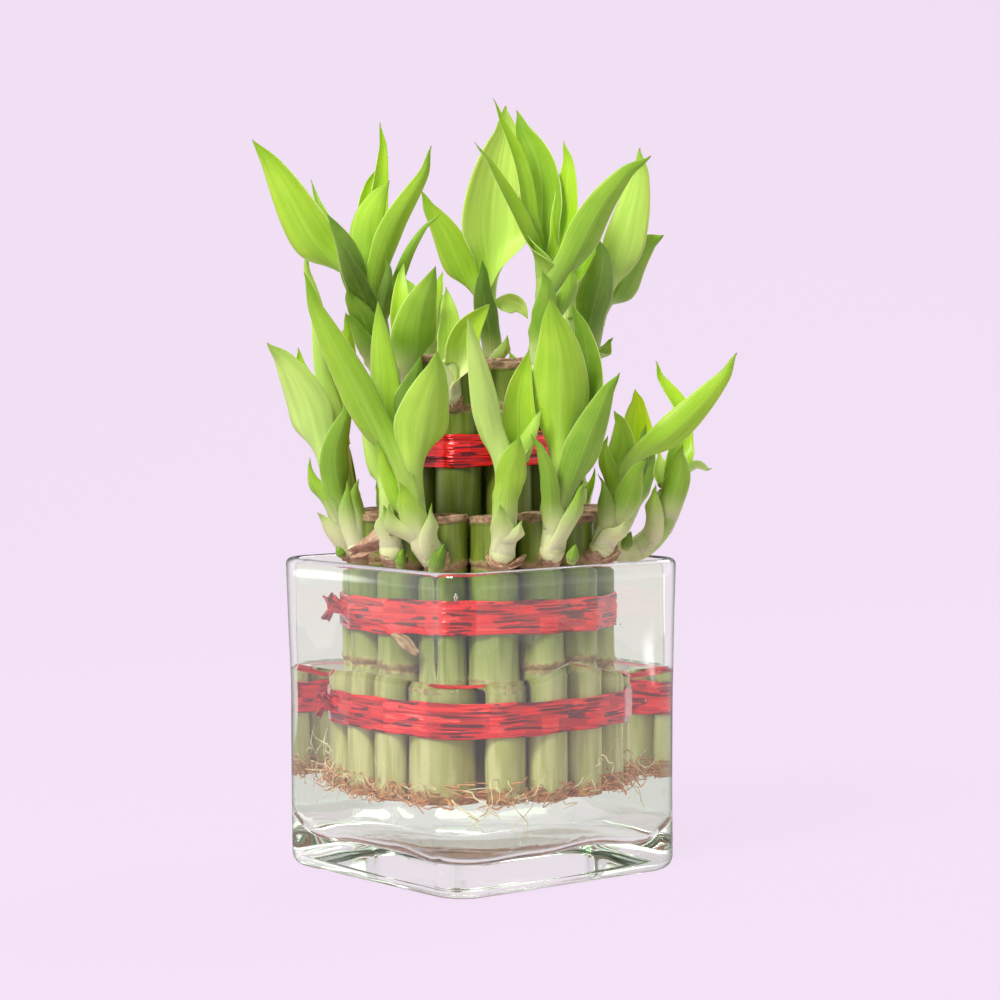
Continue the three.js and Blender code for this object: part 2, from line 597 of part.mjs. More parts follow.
// Inner shoots, in the order of their stalks from the front edge round to the right
const INNER_SHOOTS = [
  {
    stem: [[-8.5, -26.5, 157], [-9.5, -30, 163], [-9.5, -30, 174]],
    foot: 3,
    leaves: [
      { at: 0.9, bend: [-3, -34, 182], tip: [4, -36, 189], width: 6.5, turn: 15 },
      { at: 0.85, bend: [-8.5, -27, 184], tip: [-9.5, -24, 194], width: 7, turn: 10 },
      { at: 0.3, bend: [-12, -35, 167], tip: [-13, -37, 174], width: 4, turn: 0 },
    ],
  },
  {
    stem: [[15.5, -20.5, 158], [20, -20, 168], [22, -18.5, 182], [23.5, -18, 200]],
    foot: 3.4,
    leaves: [
      { at: 0.97, bend: [17, -20.5, 224], tip: [5, -23, 254], width: 5, turn: 25 },
      { at: 0.93, bend: [12.5, -27, 220], tip: [0, -33, 241], width: 5, turn: 35 },
      { at: 0.95, bend: [20.5, -12.5, 233], tip: [11.5, -8, 252], width: 13, turn: -15 },
      { at: 0.97, bend: [29.5, -16, 226], tip: [30, -14, 242], width: 9, turn: -10 },
      { at: 0.8, bend: [38, -28, 216], tip: [54, -31, 237], width: 11.5, turn: 15 },
      { at: 0.45, bend: [22.5, -25.5, 188], tip: [22, -28, 199], width: 6.5, turn: 0 },
      { at: 0.6, bend: [29, -22, 193], tip: [31, -22.5, 204], width: 7, turn: 0 },
    ],
  },
  {
    stem: [[27, -7, 158], [33, -3.5, 167], [38.5, 1.5, 180], [40.5, 3, 192]],
    foot: 3.4,
    leaves: [
      { at: 0.95, bend: [50, 0.5, 219], tip: [56, -2, 239], width: 13, turn: -15 },
      { at: 0.85, bend: [53, 6, 202], tip: [61.5, 4, 212], width: 10, turn: 20 },
      { at: 0.6, bend: [40, -6.5, 194], tip: [41, -9, 210], width: 12, turn: 10 },
      { at: 0.4, bend: [43, 3, 173], tip: [45, 4, 177.5], width: 4, turn: 0 },
    ],
  },
  {
    stem: [[25.5, 12.5, 158], [28, 16, 167], [29.5, 19, 180], [30, 20, 194]],
    foot: 3.4,
    leaves: [
      { at: 0.95, bend: [28, 23, 211], tip: [22, 25, 229], width: 11, turn: 15 },
      { at: 0.9, bend: [38, 24, 205], tip: [44, 29, 220], width: 11, turn: 20 },
      { at: 0.7, bend: [30, 29, 194], tip: [30, 41, 206], width: 9, turn: 40 },
      { at: 0.5, bend: [36, 25, 183], tip: [41, 31, 193], width: 7, turn: 10 },
      { at: 0.25, bend: [26, 24, 172], tip: [24, 29, 180], width: 4, turn: 0 },
    ],
  },
  {
    stem: [[7, 26.5, 158], [4.5, 29, 166], [3, 28, 178], [3.5, 27, 192]],
    foot: 3.6,
    leaves: [
      { at: 0.95, bend: [5.5, 23, 222], tip: [12, 20, 255], width: 22, turn: 10 },
      { at: 0.9, bend: [-10, 19, 209], tip: [-20.5, 14, 226], width: 12, turn: -12 },
      { at: 0.5, bend: [1.5, 20, 192], tip: [2, 17, 204], width: 7.5, turn: 0 },
      { at: 0.85, bend: [13, 33, 192], tip: [18.5, 36, 184], width: 8, turn: 25 },
      { at: 0.3, bend: [8.5, 24.5, 173], tip: [10.5, 23, 179], width: 4, turn: 0 },
      { at: 0.6, bend: [-3, 36, 198], tip: [-8, 44, 213], width: 11, turn: 20 },
    ],
  },
  {
    stem: [[-13, 26, 158], [-15.5, 30, 166], [-16.5, 32, 177], [-16, 33, 184]],
    foot: 3.2,
    leaves: [
      { at: 0.9, bend: [-13.5, 35, 191], tip: [-13, 37, 200], width: 8, turn: 10 },
      { at: 0.8, bend: [-21, 38, 188], tip: [-25, 43, 198], width: 9, turn: -15 },
      { at: 0.5, bend: [-14, 41, 182], tip: [-13, 49, 192], width: 8, turn: 30 },
      { at: 0.25, bend: [-20, 33, 170], tip: [-22, 35, 177], width: 4, turn: 0 },
    ],
  },
  {
    stem: [[-27, 6.5, 158], [-31, 3, 166], [-34, 0.5, 180], [-35.5, -1, 198]],
    foot: 3.6,
    leaves: [
      { at: 0.9, bend: [-55, -9, 212], tip: [-73, -12, 243], width: 13.5, turn: -10 },
      { at: 0.95, bend: [-48.5, 6, 217], tip: [-56, 10, 231], width: 4, turn: 10 },
      { at: 0.6, bend: [-42, -14, 203], tip: [-49, -19, 218], width: 7, turn: 15 },
      { at: 0.97, bend: [-37, -8, 214], tip: [-29.5, -11, 229], width: 12, turn: -20 },
      { at: 0.97, bend: [-34, 2, 224], tip: [-31, 3, 249], width: 5, turn: 20 },
      { at: 0.8, bend: [-28, -16, 214], tip: [-13, -21, 239], width: 8, turn: 20 },
      { at: 0.7, bend: [-24.5, -5, 202], tip: [-13, -6, 219], width: 3.6, turn: 0 },
      { at: 0.35, bend: [-39, -10, 184], tip: [-44, -16, 194], width: 7, turn: 0 },
    ],
  },
  {
    stem: [[-22, -17, 157], [-24.5, -21.5, 164], [-24, -24.5, 176]],
    foot: 3.2,
    leaves: [
      { at: 0.9, bend: [-19.5, -33, 187], tip: [-13.5, -37, 200], width: 12, turn: 15 },
      { at: 0.8, bend: [-25.5, -24, 189], tip: [-24, -21, 202], width: 6, turn: -10 },
      { at: 0.3, bend: [-27.5, -27, 166], tip: [-29, -29, 173], width: 4, turn: 0 },
    ],
  },
];

function addShoots(plant, label, shoots, tier) {
  shoots.forEach((shoot, index) => {
    const stalks = [-1, 0, 1].map((step) => {
      const place = ringPlace(tier.ring, tier.angleOf(index + step));
      return { x: place.x, y: place.y, top: tier.top + 2 };
    });
    const geometry = toGeometry(shootSolid(shoot, stalks, tier.radius, tier.floor));
    addPiece(plant, `shoot_${label}_${twoDigits(index + 1)}`, geometry, materials.shoot);
  });
}

const group = new THREE.Group();
addPiece(group, 'vase', vaseGeometry(), materials.glass);
addPiece(group, 'water', waterGeometry(), materials.water);

const plant = new THREE.Group();
plant.rotation.z = THREE.MathUtils.degToRad(PLANT_TURN);
group.add(plant);
addStalks(plant);
addRibbons(plant);
addShoots(plant, 'outer', OUTER_SHOOTS, {
  ring: OUTER_RING,
  radius: STALK_RADIUS,
  top: OUTER_TOP,
  floor: VASE_HEIGHT + RIM_CLEARANCE,
  angleOf: outerAngle,
});
addShoots(plant, 'inner', INNER_SHOOTS, {
  ring: INNER_RING,
  radius: INNER_STALK_RADIUS,
  top: INNER_TOP,
  floor: OUTER_TOP + RIM_CLEARANCE,
  angleOf: innerAngle,
});

export default group;
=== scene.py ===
# %% [markdown]
# # Lucky bamboo in a square glass vase
# The imported part is a fixed frame: a square vase, water, two rings of cut stalks, three ribbons and
# one leafy shoot for each stalk. This script dresses every one of those pieces with a finer mesh
# and its own finish. Loading the frame comes first. The finished look has to stay inside it.

# %% Load the frame
import math

import bpy
import numpy as np
from mathutils import Matrix, Vector


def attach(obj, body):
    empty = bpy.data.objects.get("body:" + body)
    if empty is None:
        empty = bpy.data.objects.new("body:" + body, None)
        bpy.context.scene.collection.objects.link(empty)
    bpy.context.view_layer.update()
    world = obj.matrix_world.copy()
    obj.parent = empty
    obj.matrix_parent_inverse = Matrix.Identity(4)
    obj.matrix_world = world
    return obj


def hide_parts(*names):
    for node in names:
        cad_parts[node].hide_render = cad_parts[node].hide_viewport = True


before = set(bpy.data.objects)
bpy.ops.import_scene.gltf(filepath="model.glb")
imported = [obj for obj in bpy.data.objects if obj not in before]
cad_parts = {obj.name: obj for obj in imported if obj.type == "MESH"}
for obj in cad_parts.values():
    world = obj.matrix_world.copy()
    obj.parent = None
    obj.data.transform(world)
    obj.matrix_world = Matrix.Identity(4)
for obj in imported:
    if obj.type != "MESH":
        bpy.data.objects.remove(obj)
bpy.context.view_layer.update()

print("nodes in the frame:", len(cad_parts))

# %% [markdown]
# ## Two sets of axes
# The vase stands square to X and Y, but somebody looking at it faces its front edge. The plant is
# easier to lay out from where that person stands: x to the right, y away from them, z up, in
# millimetres. One turn about Z takes those points to the frame, in metres. Vase and water are made
# square to the frame, so they skip the turn.

# %% Millimetres to metres
MM = 0.001
PLANT_TURN = math.radians(-38.5)


def plant_to_frame(points):
    """Points laid out as the viewer sees them, in millimetres, as points of the frame, in metres."""
    p = np.asarray(points, float)
    c, s = math.cos(PLANT_TURN), math.sin(PLANT_TURN)
    return np.column_stack([p[:, 0] * c - p[:, 1] * s, p[:, 0] * s + p[:, 1] * c, p[:, 2]]) * MM


def vase_to_frame(points):
    """Points laid out square to the vase, in millimetres, as points of the frame, in metres."""
    return np.asarray(points, float) * MM


print("the plant is turned by", round(math.degrees(PLANT_TURN), 1), "degrees")

# %% [markdown]
# ## Meshes from rings
# Almost everything here is a row of rings: a stalk, a stem, a root, a ribbon, and a leaf, whose
# ring runs up one face and back down the other. One helper skins the rings and one joins many such
# skins in a single piece. Each skin carries two marks for every vertex, which the finishes read:
# where it is on the leaf or stalk, and what is special about it. Marks are stored in the mesh, so a
# finish needs no unwrapped map.

# %% Skins and pieces
def skin_rings(rings, closed=False):
    """Rings (rows, ring, 3) as vertices and faces; the ends are closed unless the rows form a loop."""
    rows, ring = rings.shape[:2]
    index = np.arange(rows * ring).reshape(rows, ring)
    upper = np.roll(index, -1, axis=0) if closed else index[1:]
    lower = index if closed else index[:-1]
    quads = np.stack([lower, np.roll(lower, -1, axis=1), np.roll(upper, -1, axis=1), upper], axis=-1)
    faces = quads.reshape(-1, 4).tolist()
    if not closed:
        faces.append(index[0][::-1].tolist())
        faces.append(index[-1].tolist())
    return rings.reshape(-1, 3), faces


def make_piece(name, skins, finishes, nodes, to_frame=plant_to_frame):
    """One object from skins, each (vertices, faces, place marks, kind marks, finish number)."""
    vertices, faces, places, kinds, finish_of = [], [], [], [], []
    start = 0
    for points, polygons, place, kind, finish in skins:
        vertices.append(points)
        faces.extend([[v + start for v in polygon] for polygon in polygons])
        finish_of.extend([finish] * len(polygons))
        places.append(np.broadcast_to(place, (len(points), 3)))
        kinds.append(np.broadcast_to(kind, (len(points), 3)))
        start += len(points)
    mesh = bpy.data.meshes.new(name)
    mesh.from_pydata(to_frame(np.vstack(vertices)).tolist(), [], faces)
    for title, values in (("place", places), ("kind", kinds)):
        stored = mesh.attributes.new(title, "FLOAT_VECTOR", "POINT")
        stored.data.foreach_set("vector", np.vstack(values).astype(np.float32).ravel())
    for finish in finishes:
        mesh.materials.append(finish)
    mesh.polygons.foreach_set("material_index", finish_of)
    mesh.polygons.foreach_set("use_smooth", [True] * len(mesh.polygons))
    mesh.update()
    piece = bpy.data.objects.new(name, mesh)
    bpy.context.scene.collection.objects.link(piece)
    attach(piece, "root")
    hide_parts(*nodes)
    return piece


print("rings make skins, and skins make pieces")

# %% [markdown]
# ## Smooth lines
# Stems, roots, leaves and ribbons are given by a few points each. A curve through them gives the
# many even steps that a mesh needs. It must not swing out where two points stand close together, so
# it takes the distance between them into account. A curve object could do the same, but plain
# points are easier to measure.

# %% Smooth lines
LINE_DETAIL = 24


def smooth_line(points, count):
    """A smooth line through the points, given back as evenly spaced ones."""
    p = np.asarray(points, float)
    padded = np.vstack([2 * p[0] - p[1], p, 2 * p[-1] - p[-2]])
    u = np.linspace(0, 1, LINE_DETAIL, endpoint=False)[:, None]
    fine = []
    for a, b, c, d in zip(padded, padded[1:], padded[2:], padded[3:]):
        ab, bc, cd = (math.sqrt(max(np.linalg.norm(n - m), 1e-9)) for m, n in ((a, b), (b, c), (c, d)))
        leave = ((b - a) / ab - (c - a) / (ab + bc) + (c - b) / bc) * bc
        arrive = ((c - b) / bc - (d - b) / (bc + cd) + (d - c) / cd) * bc
        fine.append((2 * u**3 - 3 * u**2 + 1) * b + (u**3 - 2 * u**2 + u) * leave
                    + (3 * u**2 - 2 * u**3) * c + (u**3 - u**2) * arrive)
    fine = np.vstack([*fine, p[-1:]])
    run = np.concatenate([[0], np.cumsum(np.linalg.norm(np.diff(fine, axis=0), axis=1))])
    even = np.linspace(0, run[-1], count)
    return np.column_stack([np.interp(even, run, fine[:, k]) for k in range(3)])


def unit(vectors):
    """Each vector at length one."""
    return vectors / np.maximum(np.linalg.norm(vectors, axis=-1, keepdims=True), 1e-9)


def ease(x):
    """0 below 0, 1 above 1, and smooth between."""
    x = np.clip(x, 0, 1)
    return x * x * (3 - 2 * x)


def tube_rings(line, radii, sides):
    """Round rings of the given radii along a line, with no twist between them."""
    along = unit(np.gradient(line, axis=0))
    first = unit(np.cross(along[0], [0.31, 0.87, 0.38]))
    frames = []
    for direction in along:
        first = unit(first - direction * np.dot(first, direction))
        frames.append((first, np.cross(direction, first)))
    angle = np.linspace(0, 2 * math.pi, sides, endpoint=False)
    rings = [c + r * (np.outer(np.cos(angle), a) + np.outer(np.sin(angle), b))
             for c, r, (a, b) in zip(line, radii, frames)]
    return np.array(rings)


print("mesh helpers are ready")

# %% [markdown]
# ## Finishes, and the effects that they share
# A finish is a Principled shader with nodes for what changes over the surface. Three effects turn
# up on several plant parts, so each is a node group, built once: fine lines that run lengthwise,
# soft blotches, and specks. Each group gives a mask between 0 and 1, and the finish decides which
# colours or bumps the mask mixes.

# %% Node helpers
def fill_socket(tree, socket, value):
    """An input set to a value, or linked to another node's output."""
    if isinstance(value, bpy.types.NodeSocket):
        tree.links.new(value, socket)
    else:
        socket.default_value = value


def add_node(tree, kind, settings=None, **inputs):
    """A shader node with its settings and inputs. An input is named, or numbered as i0, i1 and so on."""
    made = tree.nodes.new("ShaderNode" + kind)
    for key, value in (settings or {}).items():
        setattr(made, key, value)
    for key, value in inputs.items():
        numbered = key[0] == "i" and key[1:].isdigit()
        fill_socket(tree, made.inputs[int(key[1:]) if numbered else key], value)
    return made


def mix_colour(tree, factor, first, second):
    """A colour between first and second."""
    return add_node(tree, "Mix", {"data_type": "RGBA"}, i0=factor, i6=first, i7=second).outputs[2]


def tinge(tree, factor, base, strength, tint):
    """The base, moved part of the way to a tint where the factor is high."""
    return mix_colour(tree, factor, base, mix_colour(tree, strength, base, tint))


def maths(tree, operation, first, second=0.0):
    """One function of two numbers."""
    return add_node(tree, "Math", {"operation": operation}, i0=first, i1=second).outputs[0]


def times(tree, first, second):
    """The product of two numbers."""
    return maths(tree, "MULTIPLY", first, second)


def plus(tree, first, second):
    """The sum of two numbers."""
    return maths(tree, "ADD", first, second)


def remap(tree, value, low, high, to_low=0.0, to_high=1.0):
    """A number moved from one range to another, held at its ends."""
    settings = {"interpolation_type": "SMOOTHSTEP"}
    made = add_node(tree, "MapRange", settings, i0=value, i1=low, i2=high, i3=to_low, i4=to_high)
    return made.outputs[0]


def colour(red, green, blue):
    """A screen colour, 0 to 255, as the light values that a shader takes."""
    channels = [c / 255 for c in (red, green, blue)]
    return (*[c / 12.92 if c < 0.04045 else ((c + 0.055) / 1.055) ** 2.4 for c in channels], 1.0)


def new_finish(name, **inputs):
    """A material with one Principled shader, its sockets set from inputs."""
    material = bpy.data.materials.new(name)
    material.use_nodes = True
    shader = material.node_tree.nodes["Principled BSDF"]
    for key, value in inputs.items():
        shader.inputs[key.replace("_", " ")].default_value = value
    return material, material.node_tree, shader


def marks(tree, title):
    """The three numbers that a mesh stores under a title."""
    stored = add_node(tree, "Attribute", {"attribute_name": title})
    parts = add_node(tree, "SeparateXYZ", i0=stored.outputs["Vector"])
    return parts.outputs[0], parts.outputs[1], parts.outputs[2]


def add_bump(tree, shader, height, strength, distance):
    """A bump on the shader's normal."""
    bump = add_node(tree, "Bump", Strength=strength, Distance=distance, Height=height)
    tree.links.new(bump.outputs["Normal"], shader.inputs["Normal"])


def new_group(name, numbers):
    """A node group with number inputs and one number output called Mask."""
    group = bpy.data.node_groups.new(name, "ShaderNodeTree")
    number = "NodeSocketFloat"
    for title, value in numbers.items():
        group.interface.new_socket(title, in_out="INPUT", socket_type=number).default_value = value
    group.interface.new_socket("Mask", in_out="OUTPUT", socket_type=number)
    inside = group.nodes.new("NodeGroupInput")
    outside = group.nodes.new("NodeGroupOutput")
    return group, inside.outputs, outside.inputs["Mask"]


def use_group(tree, group, **inputs):
    """The Mask of a group placed in a tree."""
    made = tree.nodes.new("ShaderNodeGroup")
    made.node_tree = group
    for title, value in inputs.items():
        fill_socket(tree, made.inputs[title], value)
    return made.outputs["Mask"]


print("node helpers are ready")

# %% [markdown]
# ### Lengthwise lines
# Leaf veins, the fibres of a stalk and the creases of a pulled ribbon are all the same thing at
# different scales: noise that is stretched a long way in one direction. Two numbers, across and
# along, place a point, and a spacing sets how fine the lines are. Noise is better than a sine wave
# here, because real veins vary.

# %% Group: lengthwise lines
def build_lines_group():
    """Fine lines that run along a leaf, stalk or ribbon."""
    numbers = {"Across": 0.0, "Along": 0.0, "Spacing": 0.5, "Stretch": 30.0}
    group, given, mask = new_group("lengthwise_lines", numbers)
    across = maths(group, "DIVIDE", given["Across"], given["Spacing"])
    reach = times(group, given["Spacing"], given["Stretch"])
    along = maths(group, "DIVIDE", given["Along"], reach)
    place = add_node(group, "CombineXYZ", i0=across, i1=along)
    noise = add_node(group, "TexNoise", {"noise_dimensions": "2D"}, Vector=place.outputs[0], Scale=1.0,
                     Detail=2.0)
    group.links.new(remap(group, noise.outputs[0], 0.3, 0.7), mask)
    return group


LINES = build_lines_group()
print("group", LINES.name)

# %% [markdown]
# ### Blotches and specks
# Nothing that grew has one colour. Blotches are slow changes of tone over several millimetres, from
# noise at the surface's own place in the object. Specks are the small brown dots on the sheaths:
# the middles of random cells.

# %% Groups: blotches and specks
def build_blotches_group():
    """Soft patches, Size in millimetres."""
    group, given, mask = new_group("soft_blotches", {"Size": 8.0, "Shift": 0.0, "Sharpness": 0.5})
    place = add_node(group, "TexCoord").outputs["Object"]
    scale = maths(group, "DIVIDE", 1 / MM, given["Size"])
    shifted = add_node(group, "VectorMath", {"operation": "ADD"}, i0=place, i1=given["Shift"])
    noise = add_node(group, "TexNoise", Vector=shifted.outputs[0], Scale=scale, Detail=3.0, Roughness=0.55)
    half = times(group, maths(group, "SUBTRACT", 1.0, given["Sharpness"]), 0.3)
    low = maths(group, "SUBTRACT", 0.5, half)
    high = plus(group, 0.5, half)
    group.links.new(remap(group, noise.outputs[0], low, high), mask)
    return group


def build_specks_group():
    """Small scattered dots. Size is the spacing in millimetres and Amount the dots' share of it."""
    group, given, mask = new_group("small_specks", {"Size": 2.0, "Amount": 0.2})
    place = add_node(group, "TexCoord").outputs["Object"]
    scale = maths(group, "DIVIDE", 1 / MM, given["Size"])
    cells = add_node(group, "TexVoronoi", Vector=place, Scale=scale, Randomness=1.0)
    patchy = add_node(group, "TexNoise", Vector=place, Scale=160.0, Detail=2.0)
    reach = times(group, given["Amount"], remap(group, patchy.outputs[0], 0.42, 0.62))
    inner = times(group, reach, 0.6)
    near = remap(group, cells.outputs["Distance"], inner, reach, 1.0, 0.0)
    group.links.new(near, mask)
    return group


BLOTCHES = build_blotches_group()
SPECKS = build_specks_group()
print("groups", BLOTCHES.name, "and", SPECKS.name)

# %% [markdown]
# ### Leaf
# A leaf of this plant is a thin strap, pale where it leaves the sheath, with fine veins side by
# side, a pale midrib, a thin pale margin and a darker point. Young leaves are lit through, so a
# little light is let into the blade as subsurface. Every leaf stores its own tone, from pale
# yellow-green to deep green. The deep tones are partly painted shade: leaves that sit in the shade
# of others are given a deeper green.

# %% Finish: leaf
# Deep tones are partly painted shade, for leaves that sit in the shade of others.
LEAF_TONES = [(-0.4, colour(182, 222, 4)), (0.0, colour(208, 236, 138)), (0.3, colour(160, 206, 22)),
              (0.62, colour(112, 156, 6)), (1.0, colour(48, 80, 2))]
SHEATH_CREAM = colour(224, 224, 172)
CREAM_FROM, CREAM_TO = 3.0, 21.0
BLADE_LENGTH = 40.0


def leaf_finish():
    """Place marks: across -1 to 1, along 0 to 1, mm above the foot. Kind marks: tone, seed, half width."""
    material, tree, shader = new_finish("leaf", Roughness=0.36, Subsurface_Weight=0.25,
                                        Subsurface_Scale=0.002, Specular_IOR_Level=0.32, IOR=1.42)
    shader.inputs["Subsurface Radius"].default_value = (0.8, 1.0, 0.25)
    across, along, height = marks(tree, "place")
    tone, seed, half = marks(tree, "kind")
    across_mm = times(tree, across, maths(tree, "ABSOLUTE", half))
    along_mm = times(tree, along, BLADE_LENGTH)
    dots = use_group(tree, SPECKS, Size=1.5, Amount=0.2)
    veins = use_group(tree, LINES, Across=plus(tree, across_mm, times(tree, seed, 90.0)),
                      Along=along_mm, Spacing=0.42, Stretch=60.0)
    bands = use_group(tree, LINES, Across=across_mm, Along=plus(tree, along_mm, seed), Spacing=2.2,
                      Stretch=14.0)
    patches = use_group(tree, BLOTCHES, Size=11.0, Shift=seed, Sharpness=0.2)
    green = LEAF_TONES[0][1]
    for (low, _), (high, deeper_green) in zip(LEAF_TONES, LEAF_TONES[1:]):
        green = mix_colour(tree, remap(tree, tone, low, high), green, deeper_green)
    edge = maths(tree, "ABSOLUTE", across)
    under = remap(tree, half, -0.5, 0.5, 0.3, 0.0)
    backed = mix_colour(tree, under, green, colour(134, 172, 78))
    flushed = tinge(tree, times(tree, bands, 0.5), backed, 0.5, colour(76, 130, 0))
    mottled = mix_colour(tree, times(tree, patches, 0.26), flushed,
                         mix_colour(tree, 0.5, backed, colour(202, 232, 96)))
    lined = tinge(tree, times(tree, veins, 0.12), mottled, 0.6, colour(220, 236, 140))
    rib = remap(tree, edge, 0.02, 0.08, 0.18, 0.0)
    ribbed = tinge(tree, rib, lined, 0.5, colour(214, 234, 140))
    rim = remap(tree, edge, 0.94, 0.99, 0.0, 0.6)
    rimmed = mix_colour(tree, rim, ribbed, colour(214, 236, 150))
    foot = remap(tree, along, -0.1, 0.3, 0.4, 0.0)
    footed = mix_colour(tree, foot, rimmed, colour(196, 218, 120))
    cream = remap(tree, height, CREAM_FROM, CREAM_TO, 0.88, 0.0)
    creamed = mix_colour(tree, cream, footed, SHEATH_CREAM)
    low_dots = times(tree, dots, remap(tree, height, 3.0, 20.0, 0.5, 0.0))
    dotted = mix_colour(tree, low_dots, creamed, colour(140, 98, 54))
    fresh = remap(tree, tone, -0.3, -0.1)
    tip = times(tree, remap(tree, along, 0.74, 1.0, 0.0, 0.5), fresh)
    deeper = mix_colour(tree, tip, dotted, colour(72, 128, 6))
    end = times(tree, remap(tree, along, 0.97, 0.998, 0.0, 0.85), fresh)
    point = mix_colour(tree, end, deeper, colour(112, 92, 40))
    tree.links.new(point, shader.inputs["Base Color"])
    rough = remap(tree, veins, 0.0, 1.0, 0.33, 0.42)
    tree.links.new(rough, shader.inputs["Roughness"])
    ridge = plus(tree, veins, times(tree, remap(tree, edge, 0.0, 0.08, 1.0, 0.0), 1.5))
    add_bump(tree, shader, ridge, 0.3, 0.00008)
    return material


LEAF = leaf_finish()
print("finish", LEAF.name)

# %% [markdown]
# ### Stem and sheaths
# The young stem is hidden by sheaths: cream to pale green skins with brown specks, and a dark ring
# where each one starts. It shares the lines, blotches and specks with the stalks, at a finer scale.

# %% Finish: stem
def stem_finish():
    """Place marks: mm round the stem and mm above its foot. Kind marks: seed and sheath line."""
    material, tree, shader = new_finish("stem", Roughness=0.42, Subsurface_Weight=0.15,
                                        Subsurface_Scale=0.002, IOR=1.42)
    shader.inputs["Subsurface Radius"].default_value = (0.8, 1.0, 0.3)
    around, height, _ = marks(tree, "place")
    _, seed, ring = marks(tree, "kind")
    fibres = use_group(tree, LINES, Across=around, Along=height, Spacing=0.5, Stretch=40.0)
    patches = use_group(tree, BLOTCHES, Size=5.0, Shift=seed, Sharpness=0.3)
    dots = use_group(tree, SPECKS, Size=1.5, Amount=0.22)
    rise = remap(tree, height, CREAM_FROM, CREAM_TO)
    base = mix_colour(tree, rise, colour(222, 224, 166), colour(146, 192, 62))
    mottled = mix_colour(tree, times(tree, patches, 0.45), base, colour(176, 200, 92))
    lined = mix_colour(tree, times(tree, fibres, 0.3), mottled, colour(228, 232, 178))
    speckled = mix_colour(tree, times(tree, dots, 0.55), lined, colour(128, 86, 44))
    ringed = mix_colour(tree, times(tree, ring, 0.8), speckled, colour(158, 122, 84))
    tree.links.new(ringed, shader.inputs["Base Color"])
    add_bump(tree, shader, plus(tree, fibres, patches), 0.3, 0.0001)
    return material


STEM = stem_finish()
print("finish", STEM.name)

# %% [markdown]
# ### Stalk
# A stalk is a cut cane. Above the water it is deep green with a satin skin, lower down it fades to
# pale olive. Its rings are brown, its top is dry cork, and its foot is stained orange-brown by the
# roots. How brown a point is gets stored by the mesh, so the stain follows the ring's real shape,
# and noise breaks its edge.

# %% Finish: stalk
BROWNS = {"ring": (0.3, 0.85, 0.85, colour(178, 144, 108), colour(136, 102, 70)),
          "stain": (0.3, 0.95, 0.85, colour(196, 134, 78), colour(146, 90, 48)),
          "cork": (0.35, 0.65, 1.0, colour(176, 144, 112), colour(120, 90, 64))}
DEEP_GREENS = (colour(104, 125, 32), colour(74, 95, 15))
PALE_OLIVES = (colour(206, 194, 146), colour(172, 164, 102))


def stalk_finish():
    """Place marks: mm round the stalk, height in mm, seed. Kind marks: ring, cork and root stain."""
    material, tree, shader = new_finish("stalk", Roughness=0.4, IOR=1.45)
    around, height, seed = marks(tree, "place")
    ring, cork, stain = marks(tree, "kind")
    fibres = use_group(tree, LINES, Across=around, Along=height, Spacing=0.7, Stretch=36.0)
    streaks = use_group(tree, LINES, Across=plus(tree, around, seed), Along=height, Spacing=3.2,
                        Stretch=9.0)
    patches = use_group(tree, BLOTCHES, Size=14.0, Shift=seed, Sharpness=0.2)
    fine = use_group(tree, BLOTCHES, Size=2.2, Shift=seed, Sharpness=0.5)
    dots = use_group(tree, SPECKS, Size=2.4, Amount=0.16)
    own = times(tree, maths(tree, "SINE", times(tree, seed, 12.9)), 10.0)
    fade = remap(tree, plus(tree, height, own), 50.0, 103.0)
    deep = mix_colour(tree, streaks, *DEEP_GREENS)
    pale = mix_colour(tree, streaks, *PALE_OLIVES)
    base = mix_colour(tree, fade, pale, deep)
    toned = tinge(tree, times(tree, patches, 0.4), base, 0.5, colour(150, 154, 66))
    lined = tinge(tree, times(tree, fibres, 0.12), toned, 0.5, colour(198, 194, 130))
    painted = mix_colour(tree, times(tree, dots, 0.3), lined, colour(110, 92, 48))
    rough_edge = times(tree, maths(tree, "SUBTRACT", fine, 0.5), 0.5)
    brown = 0.0
    for mark, title in ((ring, "ring"), (stain, "stain"), (cork, "cork")):
        low, high, most, light, dark = BROWNS[title]
        mask = remap(tree, plus(tree, mark, rough_edge), low, high, 0.0, most)
        painted = mix_colour(tree, mask, painted, mix_colour(tree, fine, light, dark))
        brown = maths(tree, "MAXIMUM", brown, mask)
    tree.links.new(painted, shader.inputs["Base Color"])
    tree.links.new(remap(tree, brown, 0.0, 1.0, 0.34, 0.75), shader.inputs["Roughness"])
    relief = plus(tree, times(tree, fibres, 0.2), times(tree, fine, brown))
    add_bump(tree, shader, relief, 0.5, 0.00025)
    return material


STALK = stalk_finish()
print("finish", STALK.name)

# %% [markdown]
# ### Roots
# Two kinds: long white threads, clean and waxy, and a short orange-brown fringe under the stalks.
# They share one finish, and a mark on each root says how brown it is.

# %% Finish: root
def root_finish():
    """Kind marks: brownness of the root, and its seed."""
    material, tree, shader = new_finish("root", Roughness=0.55, Subsurface_Weight=0.1,
                                        Subsurface_Scale=0.001)
    brown, seed, _ = marks(tree, "kind")
    fine = use_group(tree, BLOTCHES, Size=3.0, Shift=seed, Sharpness=0.3)
    white = mix_colour(tree, fine, colour(238, 228, 204), colour(206, 178, 130))
    rust = mix_colour(tree, fine, colour(214, 132, 72), colour(164, 94, 46))
    tree.links.new(mix_colour(tree, brown, white, rust), shader.inputs["Base Color"])
    return material


ROOT = root_finish()
print("finish", ROOT.name)

# %% [markdown]
# ### Husk
# The torn skin at the feet of the shoots is dry and papery, matt, and streaked along its fibres.

